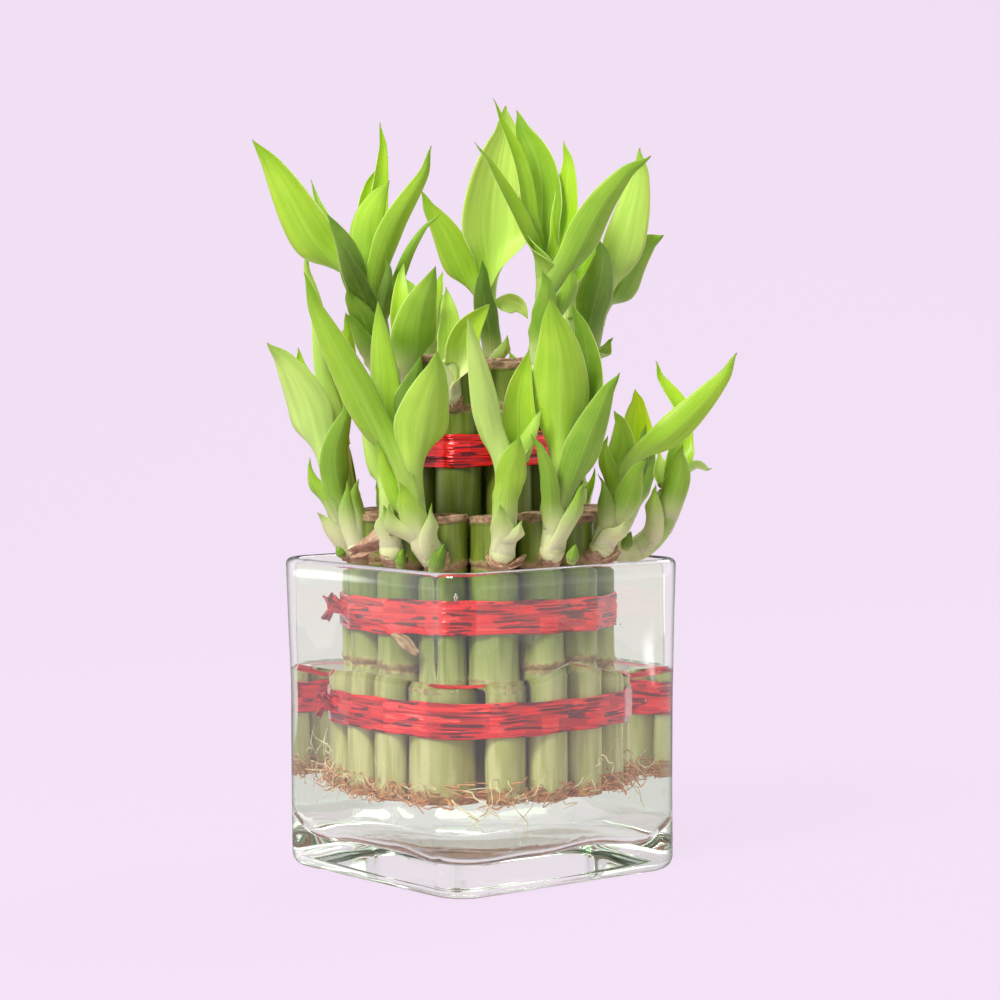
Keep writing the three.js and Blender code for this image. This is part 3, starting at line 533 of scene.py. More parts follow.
# %% Finish: husk
def husk_finish():
    """Place marks: mm along the fibres and across them. Kind marks: seed."""
    material, tree, shader = new_finish("husk", Roughness=0.8, IOR=1.4)
    along, across, _ = marks(tree, "place")
    _, seed, _ = marks(tree, "kind")
    fibres = use_group(tree, LINES, Across=across, Along=along, Spacing=0.5, Stretch=14.0)
    fine = use_group(tree, BLOTCHES, Size=2.4, Shift=seed, Sharpness=0.3)
    brown = mix_colour(tree, fine, colour(204, 172, 140), colour(164, 126, 94))
    streaked = mix_colour(tree, times(tree, fibres, 0.45), brown, colour(128, 92, 64))
    tree.links.new(streaked, shader.inputs["Base Color"])
    add_bump(tree, shader, fibres, 0.5, 0.0002)
    return material


HUSK = husk_finish()
print("finish", HUSK.name)

# %% [markdown]
# ### Ribbon
# The ribbon is thin metallised film, pulled tight and creased lengthwise, so it flashes from pale
# red to maroon. Most of that comes from real creases in the mesh and a low roughness. The finish
# adds hairline creases, which are too fine for the mesh, and paints the rest of the flash into the
# colour: painted highlights of pale red and painted shade of maroon on random facets, painted shade
# along broad creases, and more painted shade where the mesh's creases are deepest.

# %% Finish: ribbon
FACET_LENGTH = 6.3
STRIP_HEIGHT = 1.7


def ribbon_finish():
    """Place marks: mm round the ribbon, mm up it, crease depth."""
    material, tree, shader = new_finish("ribbon", Metallic=0.4, Roughness=0.17, IOR=1.5, Coat_Weight=0.25)
    around, up, depth = marks(tree, "place")
    hair = use_group(tree, LINES, Across=up, Along=around, Spacing=0.45, Stretch=70.0)
    broad = use_group(tree, LINES, Across=up, Along=around, Spacing=0.85, Stretch=22.0)
    areas = use_group(tree, LINES, Across=up, Along=around, Spacing=4.5, Stretch=3.0)
    facet = maths(tree, "FLOOR", maths(tree, "DIVIDE", around, FACET_LENGTH))
    strip = maths(tree, "FLOOR", maths(tree, "DIVIDE", up, STRIP_HEIGHT))
    cell = add_node(tree, "CombineXYZ", i0=facet, i1=strip)
    chance = add_node(tree, "TexWhiteNoise", {"noise_dimensions": "2D"}, Vector=cell.outputs[0])
    patch = chance.outputs["Value"]
    red = mix_colour(tree, hair, colour(255, 40, 40), colour(234, 14, 18))
    # Painted shade and painted highlight: some random facets are darkened to maroon, others lightened to
    # pale red.
    red_with_painted_shade = mix_colour(tree, remap(tree, patch, 0.45, 1.0, 0.0, 0.62), red, colour(142, 6, 16))
    red_with_painted_highlight = mix_colour(tree, remap(tree, patch, 0.0, 0.25, 0.38, 0.0), red_with_painted_shade, colour(255, 92, 84))
    # Painted shade along broad creases, and more painted shade where the mesh's creases are deepest.
    painted_crease_shade_mask = times(tree, broad, remap(tree, areas, 0.25, 0.6))
    dark = mix_colour(tree, remap(tree, painted_crease_shade_mask, 0.48, 0.62, 0.0, 0.92), red_with_painted_highlight, colour(88, 4, 14))
    deep = mix_colour(tree, remap(tree, depth, 0.6, 1.0, 0.0, 0.5), dark, colour(120, 6, 16))
    tree.links.new(deep, shader.inputs["Base Color"])
    add_bump(tree, shader, plus(tree, hair, broad), 0.5, 0.0002)
    return material


RIBBON = ribbon_finish()
print("finish", RIBBON.name)

# %% [markdown]
# ### Glass and water
# Both bend light, so both use full transmission with their own index: 1.5 for soda glass and 1.33
# for water. The water's skin lies a hair inside the glass, because an air gap between them would
# act as a mirror. Clear things should throw almost no shadow, so shadow and bounce light pass
# straight through a tinted transparent shader, picked by the Light Path node inside each material.
# Light that has been turned back inside the glass many times is let out the same way, or thick
# corners would go black. The glass is faintly green. Where it curves away and is seen edge on, a
# darker glass is mixed in: painted shade for the dark lines at its edges.

# %% Finishes: glass and water
GLASS_INDEX = 1.5
WATER_INDEX = 1.333
MOST_TURNS = 5.5
RIM_STARTS, RIM_FULL = 0.098, 0.101


def painted_edge_shade(tree):
    """Painted shade mask: 1 where the glass curves away from the viewer, except on its flat floor and
    underside.
    """
    facing = add_node(tree, "LayerWeight", Blend=0.5).outputs["Facing"]
    surface = add_node(tree, "NewGeometry")
    slope = add_node(tree, "SeparateXYZ", i0=surface.outputs["Normal"]).outputs[2]
    height = add_node(tree, "SeparateXYZ", i0=surface.outputs["Position"]).outputs[2]
    level = remap(tree, maths(tree, "ABSOLUTE", slope), 0.75, 0.95)
    flat = times(tree, level, remap(tree, height, RIM_STARTS, RIM_FULL, 1.0, 0.0))
    return times(tree, remap(tree, facing, 0.48, 0.9), maths(tree, "SUBTRACT", 1.0, flat))


def clear_finish(name, tint, index, shade, edge=None):
    """A clear material that lets shadow and bounce light through, with painted shade at its edges if asked.
    """
    material, tree, shader = new_finish(name, Base_Color=tint, Roughness=0.0, IOR=index,
                                        Transmission_Weight=1.0)
    rays = add_node(tree, "LightPath")
    soft = maths(tree, "MAXIMUM", rays.outputs["Is Shadow Ray"], rays.outputs["Is Diffuse Ray"])
    long_way = maths(tree, "GREATER_THAN", rays.outputs["Ray Depth"], MOST_TURNS)
    soft = maths(tree, "MAXIMUM", soft, long_way)
    body = shader
    if edge:
        # Painted shade: a darker glass mixed in where the glass is seen edge on.
        dark = add_node(tree, "BsdfGlass", Color=edge, Roughness=0.0, IOR=index)
        body = add_node(tree, "MixShader", i0=painted_edge_shade(tree), i1=shader.outputs[0],
                        i2=dark.outputs[0])
    passing = add_node(tree, "BsdfTransparent", Color=shade)
    mixed = add_node(tree, "MixShader", i0=soft, i1=body.outputs[0], i2=passing.outputs[0])
    output = next(n for n in tree.nodes if n.type == "OUTPUT_MATERIAL")
    tree.links.new(mixed.outputs[0], output.inputs["Surface"])
    return material


# The edge colour is the painted shade of the glass's edges.
GLASS = clear_finish("glass", (0.915, 1.0, 0.87, 1.0), GLASS_INDEX, (0.94, 0.96, 0.93, 1.0),
                     edge=(0.44, 0.53, 0.42, 1.0))
WATER = clear_finish("water", (0.985, 0.995, 0.985, 1.0), WATER_INDEX, (0.97, 0.98, 0.97, 1.0))
print("finishes", GLASS.name, "and", WATER.name)

# %% [markdown]
# ## The vase
# A pressed glass vase is never quite flat. Its walls are parallel sheets with round corners, its
# rim has been melted round, and its floor is a thick block. The soft waves of the inner wall are
# what bends the stalks behind it, so they are real waves in the mesh, about a quarter of a
# millimetre deep. A few seeds, which are small bubbles of air, are caught in the walls.

# %% Vase shape
VASE_HEIGHT = 104.1
VASE_HALF_AT_RIM = 50.0
VASE_HALF_AT_BASE = 49.1
VASE_INNER_HALF = 45.8
VASE_CORNER = 12.5
INNER_CORNER = VASE_CORNER - VASE_HALF_AT_RIM + VASE_INNER_HALF
VASE_BASE_EDGE = 4.5
VASE_FLOOR = 11.0
VASE_FLOOR_EDGE = 10.0
WATER_LEVEL = 67.5
CORNER_STEPS = 16
SIDE_STEPS = 14
EDGE_ROWS = 9
OUTER_WALL_ROWS = 24
INNER_WALL_ROWS = 26
FLOOR_SHARES = (0.04, 0.15, 0.3, 0.45, 0.6, 0.75, 0.88)
FLOOR_EDGE_ROWS = 12
BUBBLE_ROWS = 12
BUBBLE_SIDES = 14
INNER_WAVES = 0.28
OUTER_WAVES = 0.2
WAIST = 0.35
BUBBLES = [((-44.9, -44.9, 96.4), 0.75, 1.6), ((-48.0, -12.0, 93.0), 0.3, 1.5),
           ((20.0, -47.8, 84.0), 0.28, 1.3), ((-47.7, 18.0, 71.0), 0.35, 1.4),
           ((-12.0, -47.8, 38.0), 0.4, 1.2), ((31.0, -47.6, 58.0), 0.25, 1.6)]


def square_outline(half, corner):
    """A round-cornered square as (points, ...) x and y, starting on the +X side."""
    centre = half - corner
    outline = []
    for quarter, (sx, sy) in enumerate(((1, 1), (-1, 1), (-1, -1), (1, -1))):
        angle = (quarter + np.linspace(0, 1, CORNER_STEPS + 1)) * math.pi / 2
        arc = np.column_stack([sx * centre + corner * np.cos(angle), sy * centre + corner * np.sin(angle)])
        follow = arc[-1] + np.outer(np.linspace(0, 1, SIDE_STEPS + 1)[1:-1], -2 * centre * np.array(
            [(1, 0), (0, 1), (-1, 0), (0, -1)][quarter]))
        outline.append(np.vstack([arc, follow]))
    return np.vstack(outline)


def wall_waves(points, depth):
    """A slow, uneven in-and-out of a wall, in millimetres."""
    x, y, z = points.T
    wave = (np.sin(x * 0.13 + z * 0.05 + 1.0) + np.sin(y * 0.16 - z * 0.07 + 2.2)
            + 0.7 * np.sin((x - y) * 0.09 + z * 0.11) + 0.5 * np.sin((x + y) * 0.31 + z * 0.19))
    return depth * wave[:, None] / 2


def square_ring(half, corner, z, waves=0.0):
    """One ring of the vase or the water, pushed in or out by the waves of the wall."""
    outline = square_outline(half, corner)
    height = np.full((len(outline), 1), float(z))
    points = np.hstack([outline, height])
    outward = unit(np.hstack([outline, np.zeros_like(height)]))
    return points + outward * wall_waves(points, waves)


def inner_waves(depth):
    """How deep the inner wall's waves are, from the lip at depth 0 down to the floor at 1."""
    return INNER_WAVES * math.sin(depth * math.pi * 0.8)


def basin_rings(seat):
    """The floor from its middle out, and its rounded edge up to the wall, grown by the seat."""
    flat_half = VASE_INNER_HALF + seat - VASE_FLOOR_EDGE
    rings = [square_ring(flat_half * share, min(5.0, flat_half * share * 0.9), VASE_FLOOR - seat)
             for share in FLOOR_SHARES]
    for share in np.linspace(0, 0.92, FLOOR_EDGE_ROWS):
        inset = VASE_FLOOR_EDGE * (1 - math.sin(share * math.pi / 2))
        z = VASE_FLOOR - seat + VASE_FLOOR_EDGE * (1 - math.cos(share * math.pi / 2))
        corner = max(INNER_CORNER - inset * 0.4, 3)
        rings.append(square_ring(VASE_INNER_HALF + seat - inset, corner, z, inner_waves(1.0)))
    for ring in rings:
        x, y, z = ring.T
        swell = 0.7 * np.sin(x * 0.1 + 0.6) + 0.7 * np.sin(y * 0.12 + 2.0) + 0.35 * np.sin((x + y) * 0.19)
        ring[:, 2] += swell * np.clip(1 - (z - VASE_FLOOR) / VASE_FLOOR_EDGE, 0, 1)
    return rings


def bubble_skin(centre, radius, tall):
    """A closed bubble of air in the glass, its faces turned inwards."""
    share = np.linspace(0.02, 0.98, BUBBLE_ROWS)
    line = np.asarray(centre) + np.outer(-np.cos(share * math.pi), [0, 0, radius * tall])
    points, faces = skin_rings(tube_rings(line, radius * np.sin(share * math.pi), BUBBLE_SIDES))
    return points, [face[::-1] for face in faces], (0, 0, 0), (0, 0, 0), 0


def build_vase():
    """The outside from the base up, over the rim, and down the inside to the floor."""
    rings = []
    for share in np.linspace(0, 1, EDGE_ROWS):
        inset = VASE_BASE_EDGE * (1 - math.sin(share * math.pi / 2))
        z = VASE_BASE_EDGE * (1 - math.cos(share * math.pi / 2))
        rings.append(square_ring(VASE_HALF_AT_BASE - inset, VASE_CORNER - inset * 0.8, z))
    lip = (VASE_HALF_AT_RIM - VASE_INNER_HALF) / 2
    for share in np.linspace(0.04, 1, OUTER_WALL_ROWS):
        z = VASE_BASE_EDGE + share * (VASE_HEIGHT - lip - VASE_BASE_EDGE)
        waist = WAIST * math.sin(share * math.pi)
        half = VASE_HALF_AT_BASE + (VASE_HALF_AT_RIM - VASE_HALF_AT_BASE) * share - waist
        rings.append(square_ring(half, VASE_CORNER, z, OUTER_WAVES * math.sin(share * math.pi)))
    for share in np.linspace(0.1, 1, EDGE_ROWS):
        out = lip * math.cos(share * math.pi)
        z = VASE_HEIGHT - lip + lip * math.sin(share * math.pi)
        rings.append(square_ring(VASE_HALF_AT_RIM - lip + out, INNER_CORNER + lip + out, z))
    for share in np.linspace(0.03, 1, INNER_WALL_ROWS):
        z = VASE_HEIGHT - lip - share * (VASE_HEIGHT - lip - VASE_FLOOR - VASE_FLOOR_EDGE)
        rings.append(square_ring(VASE_INNER_HALF, INNER_CORNER, z, inner_waves(share)))
    rings.extend(basin_rings(0.0)[::-1])
    points, faces = skin_rings(np.array(rings))
    skins = [(points, faces, (0, 0, 0), (0, 0, 0), 0)]
    skins.extend(bubble_skin(*bubble) for bubble in BUBBLES)
    return make_piece("glass_vase", skins, [GLASS], ["vase"], vase_to_frame)


vase = build_vase()
print(vase.name, "faces:", len(vase.data.polygons))

# %% [markdown]
# ## The water
# The water is one body that fills the vase. Its edge climbs the glass by a millimetre, and it
# climbs much more where a stalk stands so near the wall that the gap draws it up, in the middle of
# the front right-hand wall. The body reaches 0.2 mm into the glass, which gives one clean surface
# between water and glass.

# %% Water
WATER_SEAT = 0.2
WATER_ROWS = 16
SURFACE_STEPS = (0.4, 0.9, 1.6, 2.6, 4.2, 7.0, 12.0, 20.0, 32.0, 42.0)
EDGE_CLIMB = 1.0
RIGHT_CLIMB, RIGHT_MIDDLE = 4.6, 1.0
LEFT_CLIMB, LEFT_MIDDLE = 0.8, 2.0
CLIMB_WIDTH = 9.0


def water_rise(outline):
    """How far the water's edge climbs at each point of the wall."""
    x, y = outline.T
    climb = np.full(len(outline), EDGE_CLIMB)
    front_right = y < -VASE_INNER_HALF + 2
    climb += front_right * RIGHT_CLIMB * np.exp(-((x - RIGHT_MIDDLE) / CLIMB_WIDTH) ** 2)
    front_left = x < -VASE_INNER_HALF + 2
    climb += front_left * LEFT_CLIMB * np.exp(-((y - LEFT_MIDDLE) / CLIMB_WIDTH) ** 2)
    return climb


def build_water():
    """From the floor up to the edge, then in across the surface."""
    rings = basin_rings(WATER_SEAT)
    top = VASE_HEIGHT - (VASE_HALF_AT_RIM - VASE_INNER_HALF) / 2
    low = VASE_FLOOR + VASE_FLOOR_EDGE
    for share in np.linspace(0.06, 1, WATER_ROWS):
        z = low + share * (WATER_LEVEL - low)
        depth = (top - z) / (top - low)
        ring = square_ring(VASE_INNER_HALF + WATER_SEAT, INNER_CORNER, z, inner_waves(depth))
        ring[:, 2] += water_rise(ring[:, :2]) * ease((z - low) / (WATER_LEVEL - low)) ** 3
        rings.append(ring)
    edge = rings[-1]
    climb = water_rise(edge[:, :2])[:, None]
    for inward in SURFACE_STEPS:
        ring = edge.copy()
        ring[:, :2] *= 1 - inward / VASE_INNER_HALF
        reach = 1.1 + 0.35 * climb[:, 0]
        ring[:, 2] = WATER_LEVEL + climb[:, 0] * np.exp(-inward / reach)
        rings.append(ring)
    points, faces = skin_rings(np.array(rings))
    skins = [(points, faces, (0, 0, 0), (0, 0, 0), 0)]
    return make_piece("water_body", skins, [WATER], ["water"], vase_to_frame)


water = build_water()
print(water.name, "faces:", len(water.data.polygons))

# %% [markdown]
# ## The stalks
# A stalk is a smooth green pipe with raised rings, cut across at the top. What makes it read as a
# cane is the ring: a low bulge with a groove under it and a brown, papery scar. The cut end dries
# to a corky cap, a little wider than the cane and uneven at its edge. The heights of rings and cuts
# come from the same seeded draw that laid out the frame, so every cane meets its solid.

# %% Stalk layout
OUTER_COUNT, OUTER_RING, OUTER_PHASE, OUTER_RADIUS = 15, 37.0, 7.0, 7.2
INNER_COUNT, INNER_RING, INNER_PHASE, INNER_RADIUS = 8, 21.5, -18.0, 7.6
STALK_FOOT = 28.0
OUTER_TOP_NODE = 105.5
INNER_TOP_NODE = 156.0
STALK_SEED = 4711
ROOT_DRAWS = 8
DRAW_FACTOR = 16807
DRAW_RANGE = 2147483647


def seeded_draw(state):
    """A draw between 0 and 1 that is the same in every run."""
    def draw():
        nonlocal state
        state = state * DRAW_FACTOR % DRAW_RANGE
        return state / DRAW_RANGE
    return draw


def ring_place(ring, angle):
    """A place on a ring: angle 0 faces the viewer and grows to the right."""
    turn = math.radians(angle)
    return np.array([ring * math.sin(turn), -ring * math.cos(turn), 0.0])


def lay_out_stalks():
    """Place, radius, rings and cut height of every stalk, outer tier first."""
    draw = seeded_draw(STALK_SEED)
    outer, inner = [], []
    for index in range(OUTER_COUNT):
        angle = OUTER_PHASE + index * 360 / OUTER_COUNT
        low_node = 67 + 8 * draw()
        top = 119 + 2 * draw()
        for _ in range(ROOT_DRAWS):
            draw()
        place = ring_place(OUTER_RING, angle)
        outer.append((angle, place, OUTER_RADIUS, [low_node, OUTER_TOP_NODE], top))
    for index in range(INNER_COUNT):
        angle = INNER_PHASE + index * 360 / INNER_COUNT
        low_node = 113 + 6 * draw()
        top = 169.5 + 3 * draw()
        place = ring_place(INNER_RING, angle)
        inner.append((angle, place, INNER_RADIUS, [low_node, INNER_TOP_NODE], top))
    return outer, inner


OUTER_STALKS, INNER_STALKS = lay_out_stalks()
print("stalks:", len(OUTER_STALKS), "outer and", len(INNER_STALKS), "inner")

# %% [markdown]
# ### One stalk
# The mesh is a column of rings that stand closer together at a node and at the cut, because only
# there does the outline change quickly. The bulge, the groove and the ragged brown mark are sums of
# smooth bumps. That is simpler than sculpting each cane, and it keeps them all alike but none of
# them equal.

# %% Stalk mesh
STALK_SIDES = 48
STALK_STEP = 1.1
RING_STEP = 0.35
RING_REACH = 3
TOP_REACH = 4
TOP_ROWS = 14
CUT_DISH = ((0.98, 0.32), (0.93, 0.45), (0.84, 0.3), (0.66, -0.1), (0.45, -0.35), (0.2, -0.45))
RING_BULGE = 0.42
RING_GROOVE = 0.3
CORK_LIP = 0.28
STAIN_HEIGHT = 6


def wobble(angle, height, seed):
    """A soft unevenness from -1 to 1 round a stalk and along it."""
    return (np.sin(2 * angle + seed + 0.05 * height) + 0.6 * np.sin(3 * angle + 2.1 * seed - 0.11 * height)
            + 0.5 * np.sin(5 * angle - seed + 0.23 * height)) / 2.1


def stalk_skin(place, radius, nodes, top, seed):
    """The cane from its foot up, then in over the cut."""
    heights = list(np.arange(STALK_FOOT, top - TOP_REACH, STALK_STEP))
    for node in nodes:
        heights.extend(np.arange(node - RING_REACH, node + RING_REACH, RING_STEP))
    heights.extend(np.linspace(top - TOP_REACH, top - 0.5, TOP_ROWS))
    heights = np.unique(np.round(heights, 2))
    facing = math.atan2(*place[1::-1]) + math.pi
    sweep = np.linspace(0, 2 * math.pi, STALK_SIDES, endpoint=False)
    rings, place_marks, kind_marks = [], [], []

    def add_ring(z, reach, ring, cork, stain, dish=0.0):
        turned = sweep + facing
        drop = dish + 0.35 * wobble(sweep, 0, seed * 3) * (cork > 0.5)
        x, y = place[0] + reach * np.cos(turned), place[1] + reach * np.sin(turned)
        rings.append(np.column_stack([x, y, z + drop]))
        around = (sweep - math.pi) * radius
        level, own = np.full_like(sweep, z), np.full_like(sweep, seed * 7.0)
        place_marks.append(np.column_stack([around, level, own]))
        marks_here = [np.broadcast_to(value, sweep.shape) for value in (ring, cork, stain)]
        kind_marks.append(np.column_stack(marks_here))

    for z in heights:
        reach = radius * (1 + 0.012 * wobble(sweep, z, seed))
        ring = np.zeros_like(sweep)
        for node in nodes:
            tilt = 0.5 * np.sin(sweep + seed)
            gap = z - node - tilt
            reach = reach + RING_BULGE * np.exp(-(gap / 0.9) ** 2)
            reach = reach - RING_GROOVE * np.exp(-((gap + 1.7) / 0.5) ** 2)
            reach = reach + 0.16 * np.exp(-((gap - 1.5) / 1.4) ** 2)
            ragged = 0.3 * np.sin(3 * sweep + seed) + 0.15 * np.sin(7 * sweep + 2 * seed)
            ring = np.maximum(ring, np.exp(-((gap + 0.9 - 0.4 * ragged) / 2.0) ** 2))
        from_top = top - z - 0.6 * wobble(sweep, 0, seed * 5)
        cork = ease(1.6 - from_top / 2.2)
        lip = CORK_LIP * ease((3.2 - from_top) / 1.2)
        reach = reach + lip * (1 + 0.8 * wobble(3 * sweep, z, seed))
        stain = ease(1.2 - (z - STALK_FOOT) / STAIN_HEIGHT + 0.3 * wobble(sweep, z, seed))
        add_ring(z, reach, ring, cork, stain)
    edge = radius + CORK_LIP
    for share, dish in CUT_DISH:
        reach = edge * share * (1 + 0.012 * wobble(sweep, 0, seed))
        add_ring(top - 0.5, reach, 0.0, 1.0, 0.0, dish)
    points, faces = skin_rings(np.array(rings))
    return points, faces, np.vstack(place_marks), np.vstack(kind_marks), 0


print("a stalk has", STALK_SIDES, "sides and a ring of points every", STALK_STEP, "mm")

# %% [markdown]
# ### Roots
# Each cane of the outer tier grew its own roots in the water: a dense rust-coloured fringe at the
# foot, and a few white threads that wander out to the glass. A root is a thin tube on a smooth
# random line. The line starts inside the cane, bends outwards, and is kept within the walls.

# %% Roots
ROOT_SEED = 90210
FRINGE_ROOTS = 30
THREAD_ROOTS = 4
ROOT_SIDES = 6
ROOT_KINKS = 4
ROOT_WALL = 44.6
ROOT_FLOOR = 12.5


def root_skins(angle, place, draw):
    """The fringe and threads at the foot of one stalk."""
    outward = ring_place(1.0, angle)
    sideways = np.array([-outward[1], outward[0], 0.0])
    skins = []

    def wall_reach(direction):
        turned = plant_to_frame([direction])[0] / MM
        return ROOT_WALL / max(abs(turned[0]), abs(turned[1]))

    def turned_out(swing):
        return unit(outward * math.cos(swing) + sideways * math.sin(swing))

    def add_root(start, swing, length, drop, thick, brown):
        points = [start]
        heading = turned_out(swing)
        for step in range(1, ROOT_KINKS + 1):
            share = step / ROOT_KINKS
            aside = sideways * (draw() - 0.5) * length * 0.5
            sink = np.array([0, 0, drop * share + (draw() - 0.5) * length * 0.28])
            point = start + heading * length * share * (1 - 0.25 * share) + aside * share + sink
            flat = point * [1, 1, 0]
            distance = np.linalg.norm(flat)
            reach = wall_reach(flat / distance)
            if distance > reach:
                point = point - flat * (1 - reach / distance)
            point[2] = max(point[2], ROOT_FLOOR)
            points.append(point)
        line = smooth_line(points, 5 * ROOT_KINKS)
        radii = thick * np.linspace(1, 0.45, len(line))
        skin = skin_rings(tube_rings(line, radii, ROOT_SIDES))
        skins.append((*skin, (0, 0, 0), (brown, draw() * 5, 0), 1))

    inside = OUTER_RADIUS - 0.6
    for _ in range(FRINGE_ROOTS):
        swing = (draw() - 0.5) * 3.4
        start = place + turned_out(swing) * inside + [0, 0, STALK_FOOT + 0.3 + 6 * draw() ** 2]
        turned = swing + (1 if draw() > 0.5 else -1) * (0.8 + 0.8 * draw())
        length = 4 + 7 * draw() + 12 * draw() ** 4
        add_root(start, turned, length, 1.6 - 3 * draw(), 0.2 + 0.26 * draw(), 0.75 + 0.25 * draw())
    for _ in range(THREAD_ROOTS):
        swing = (draw() - 0.5) * 2.4
        start = place + turned_out(swing) * inside + [0, 0, STALK_FOOT + 1 + 14 * draw() ** 2]
        add_root(start, swing, 10 + 20 * draw(), 9 - 20 * draw(), 0.2 + 0.14 * draw(), 0.2 * draw())
    return skins


def build_stalks():
    """One piece for each stalk, with its roots."""
    draw = seeded_draw(ROOT_SEED)
    pieces = []
    for tier, stalks in (("outer", OUTER_STALKS), ("inner", INNER_STALKS)):
        for index, (angle, place, radius, nodes, top) in enumerate(stalks):
            label = f"{index + 1:02d}"
            skins = [stalk_skin(place, radius, nodes, top, 1.0 + 2.3 * index)]
            if tier == "outer":
                skins.extend(root_skins(angle, place, draw))
            pieces.append(make_piece(f"cane_{tier}_{label}", skins, [STALK, ROOT],
                                     [f"stalk_{tier}_{label}"]))
    return pieces


canes = build_stalks()
print("canes:", len(canes), "faces of the first:", len(canes[0].data.polygons))

# %% [markdown]
# ## The ribbons
# Each ribbon is a length of film wound round its tier a few times and pulled tight. It runs
# straight from stalk to stalk and bends only where it bears on one. Wound film gathers into long
# flat creases, so the section of the band is a stack of shallow ridges that drift up and down on
# their way round.

# %% Ribbons
RIBBON_HEIGHT = 11.0
RIBBON_STEPS = 420
RIBBON_ROWS = 30
RIBBON_REACH = 0.45
RIBBONS = {"bottom": (OUTER_STALKS, 50.0, 1.3, True), "middle": (OUTER_STALKS, 82.5, 4.1, True),
           "top": (INNER_STALKS, 135.5, 2.6, False)}


def band_outline(stalks, reach):
    """The tight line round a ring of stalks, evenly spaced, starting at the back."""
    points = []
    step = 360 / len(stalks)
    first = len(stalks) // 2
    for angle, place, radius, *_ in stalks[first:] + stalks[:first]:
        for share in np.linspace(-0.5, 0.5, 7):
            points.append(place + ring_place(radius + reach, angle + share * step))
    loop = np.vstack([*points, points[0]])
    run = np.concatenate([[0], np.cumsum(np.linalg.norm(np.diff(loop, axis=0), axis=1))])
    even = np.linspace(0, run[-1], RIBBON_STEPS, endpoint=False)
    outline = np.column_stack([np.interp(even, run, loop[:, k]) for k in range(3)])
    return outline, even, run[-1]


def crease(up, around, length, seed):
    """Depth of the creases from 0 to 1 for heights and places round the band."""
    turn = 2 * math.pi * around / length
    drift = 0.5 * np.sin(2 * turn + seed) + 0.35 * np.sin(5 * turn + 2 * seed)
    wide = 0.5 + 0.5 * np.sin(up * 1.9 + drift * 2.2 + seed)
    fine = 0.5 + 0.5 * np.sin(up * 4.3 - drift * 3.0 + 2 * seed + 0.8 * np.sin(9 * turn))
    finest = 0.5 + 0.5 * np.sin(up * 8.1 + 2.5 * np.sin(7 * turn + seed))
    broken = 0.75 + 0.25 * np.sin(13 * turn + 1.7 * up + seed)
    return np.clip((0.5 * wide + 0.32 * fine + 0.18 * finest) * broken, 0, 1)


def band_skin(stalks, bottom, seed):
    """A creased band that runs all the way round."""
    outline, even, length = band_outline(stalks, RIBBON_REACH)
    ahead = unit(np.roll(outline, -1, axis=0) - np.roll(outline, 1, axis=0))
    normal = np.column_stack([ahead[:, 1], -ahead[:, 0], np.zeros(len(ahead))])
    turn = 2 * math.pi * even / length
    low = bottom + 0.35 * np.sin(3 * turn + seed) + 0.2 * np.sin(11 * turn + 2 * seed)
    high = bottom + RIBBON_HEIGHT + 0.4 * np.sin(2 * turn + 2 * seed) + 0.2 * np.sin(13 * turn + seed)
    shares = np.linspace(0, 1, RIBBON_ROWS)
    rings, place_marks = [], []
    for point, out, along, first, last in zip(outline, normal, even, low, high):
        up = first + shares * (last - first)
        depth = crease(up - bottom, along, length, seed)
        bulge = 0.55 * (1 - depth) + 0.25 * np.sin(shares * math.pi)
        face = point + np.outer(bulge, out) + np.outer(up, [0, 0, 1])
        back_up = up[::-5]
        back = point - out * 0.35 + np.outer(back_up, [0, 0, 1])
        rings.append(np.vstack([face, back]))
        heights = np.concatenate([up, back_up]) - bottom
        crease_marks = np.concatenate([depth, np.full(len(back_up), 0.5)])
        place_marks.append(np.column_stack([np.full_like(heights, along), heights, crease_marks]))
    rings = np.array(rings)[:, ::-1]
    place_marks = np.array(place_marks)[:, ::-1].reshape(-1, 3)
    points, faces = skin_rings(rings, closed=True)
    return points, faces, place_marks, (seed, 0, 0), 0


print("ribbon bottoms:", {name: values[1] for name, values in RIBBONS.items()})

# %% [markdown]
# ### Knots
# Where the film is tied off at the left, it is wound over itself, and its ends stand out as short
# crumpled tails. A cloth simulation would be slow and hard to steer for so small a thing. A few
# folded strips of the same film, laid as loops and tails, look the same from here.

# %% Knots
KNOT_X = -46.3
STRIP_ROWS = 18
STRIP_ACROSS = 9


def strip_skin(points, widths, seed, thickness=0.35):
    """A crumpled strip of film along a line."""
    line = smooth_line(points, STRIP_ROWS)
    along = unit(np.gradient(line, axis=0))
    across = unit(np.cross(along, [0.2 * math.sin(seed), 1.0, 0.4 * math.cos(seed)]))
    up = np.cross(across, along)
    wide = np.interp(np.linspace(0, 1, len(line)), np.linspace(0, 1, len(widths)), widths)
    side = np.linspace(-1, 1, STRIP_ACROSS)
    rings, place_marks = [], []
    for step, (centre, a, u, w) in enumerate(zip(line, across, up, wide)):
        fold = 0.55 * w * np.sin(side * 3.4 + seed + step * 0.25) * 0.5
        fold = fold + 0.2 * np.sin(step * 1.3 + side * 2 + seed)
        top = centre + np.outer(side * w / 2, a) + np.outer(fold + thickness / 2, u)
        low = centre + np.outer(side * w / 2, a) + np.outer(fold - thickness / 2, u)
        rings.append(np.vstack([top, low[::-1]]))
        folded = np.abs(np.sin(side * 3.4 + seed))
        marks_here = np.column_stack([np.full(STRIP_ACROSS, step * 0.6), side * w / 2, folded])
        place_marks.append(np.vstack([marks_here, marks_here[::-1]]))
    points, faces = skin_rings(np.array(rings))
    return points, faces, np.vstack(place_marks), (seed, 0, 0), 0


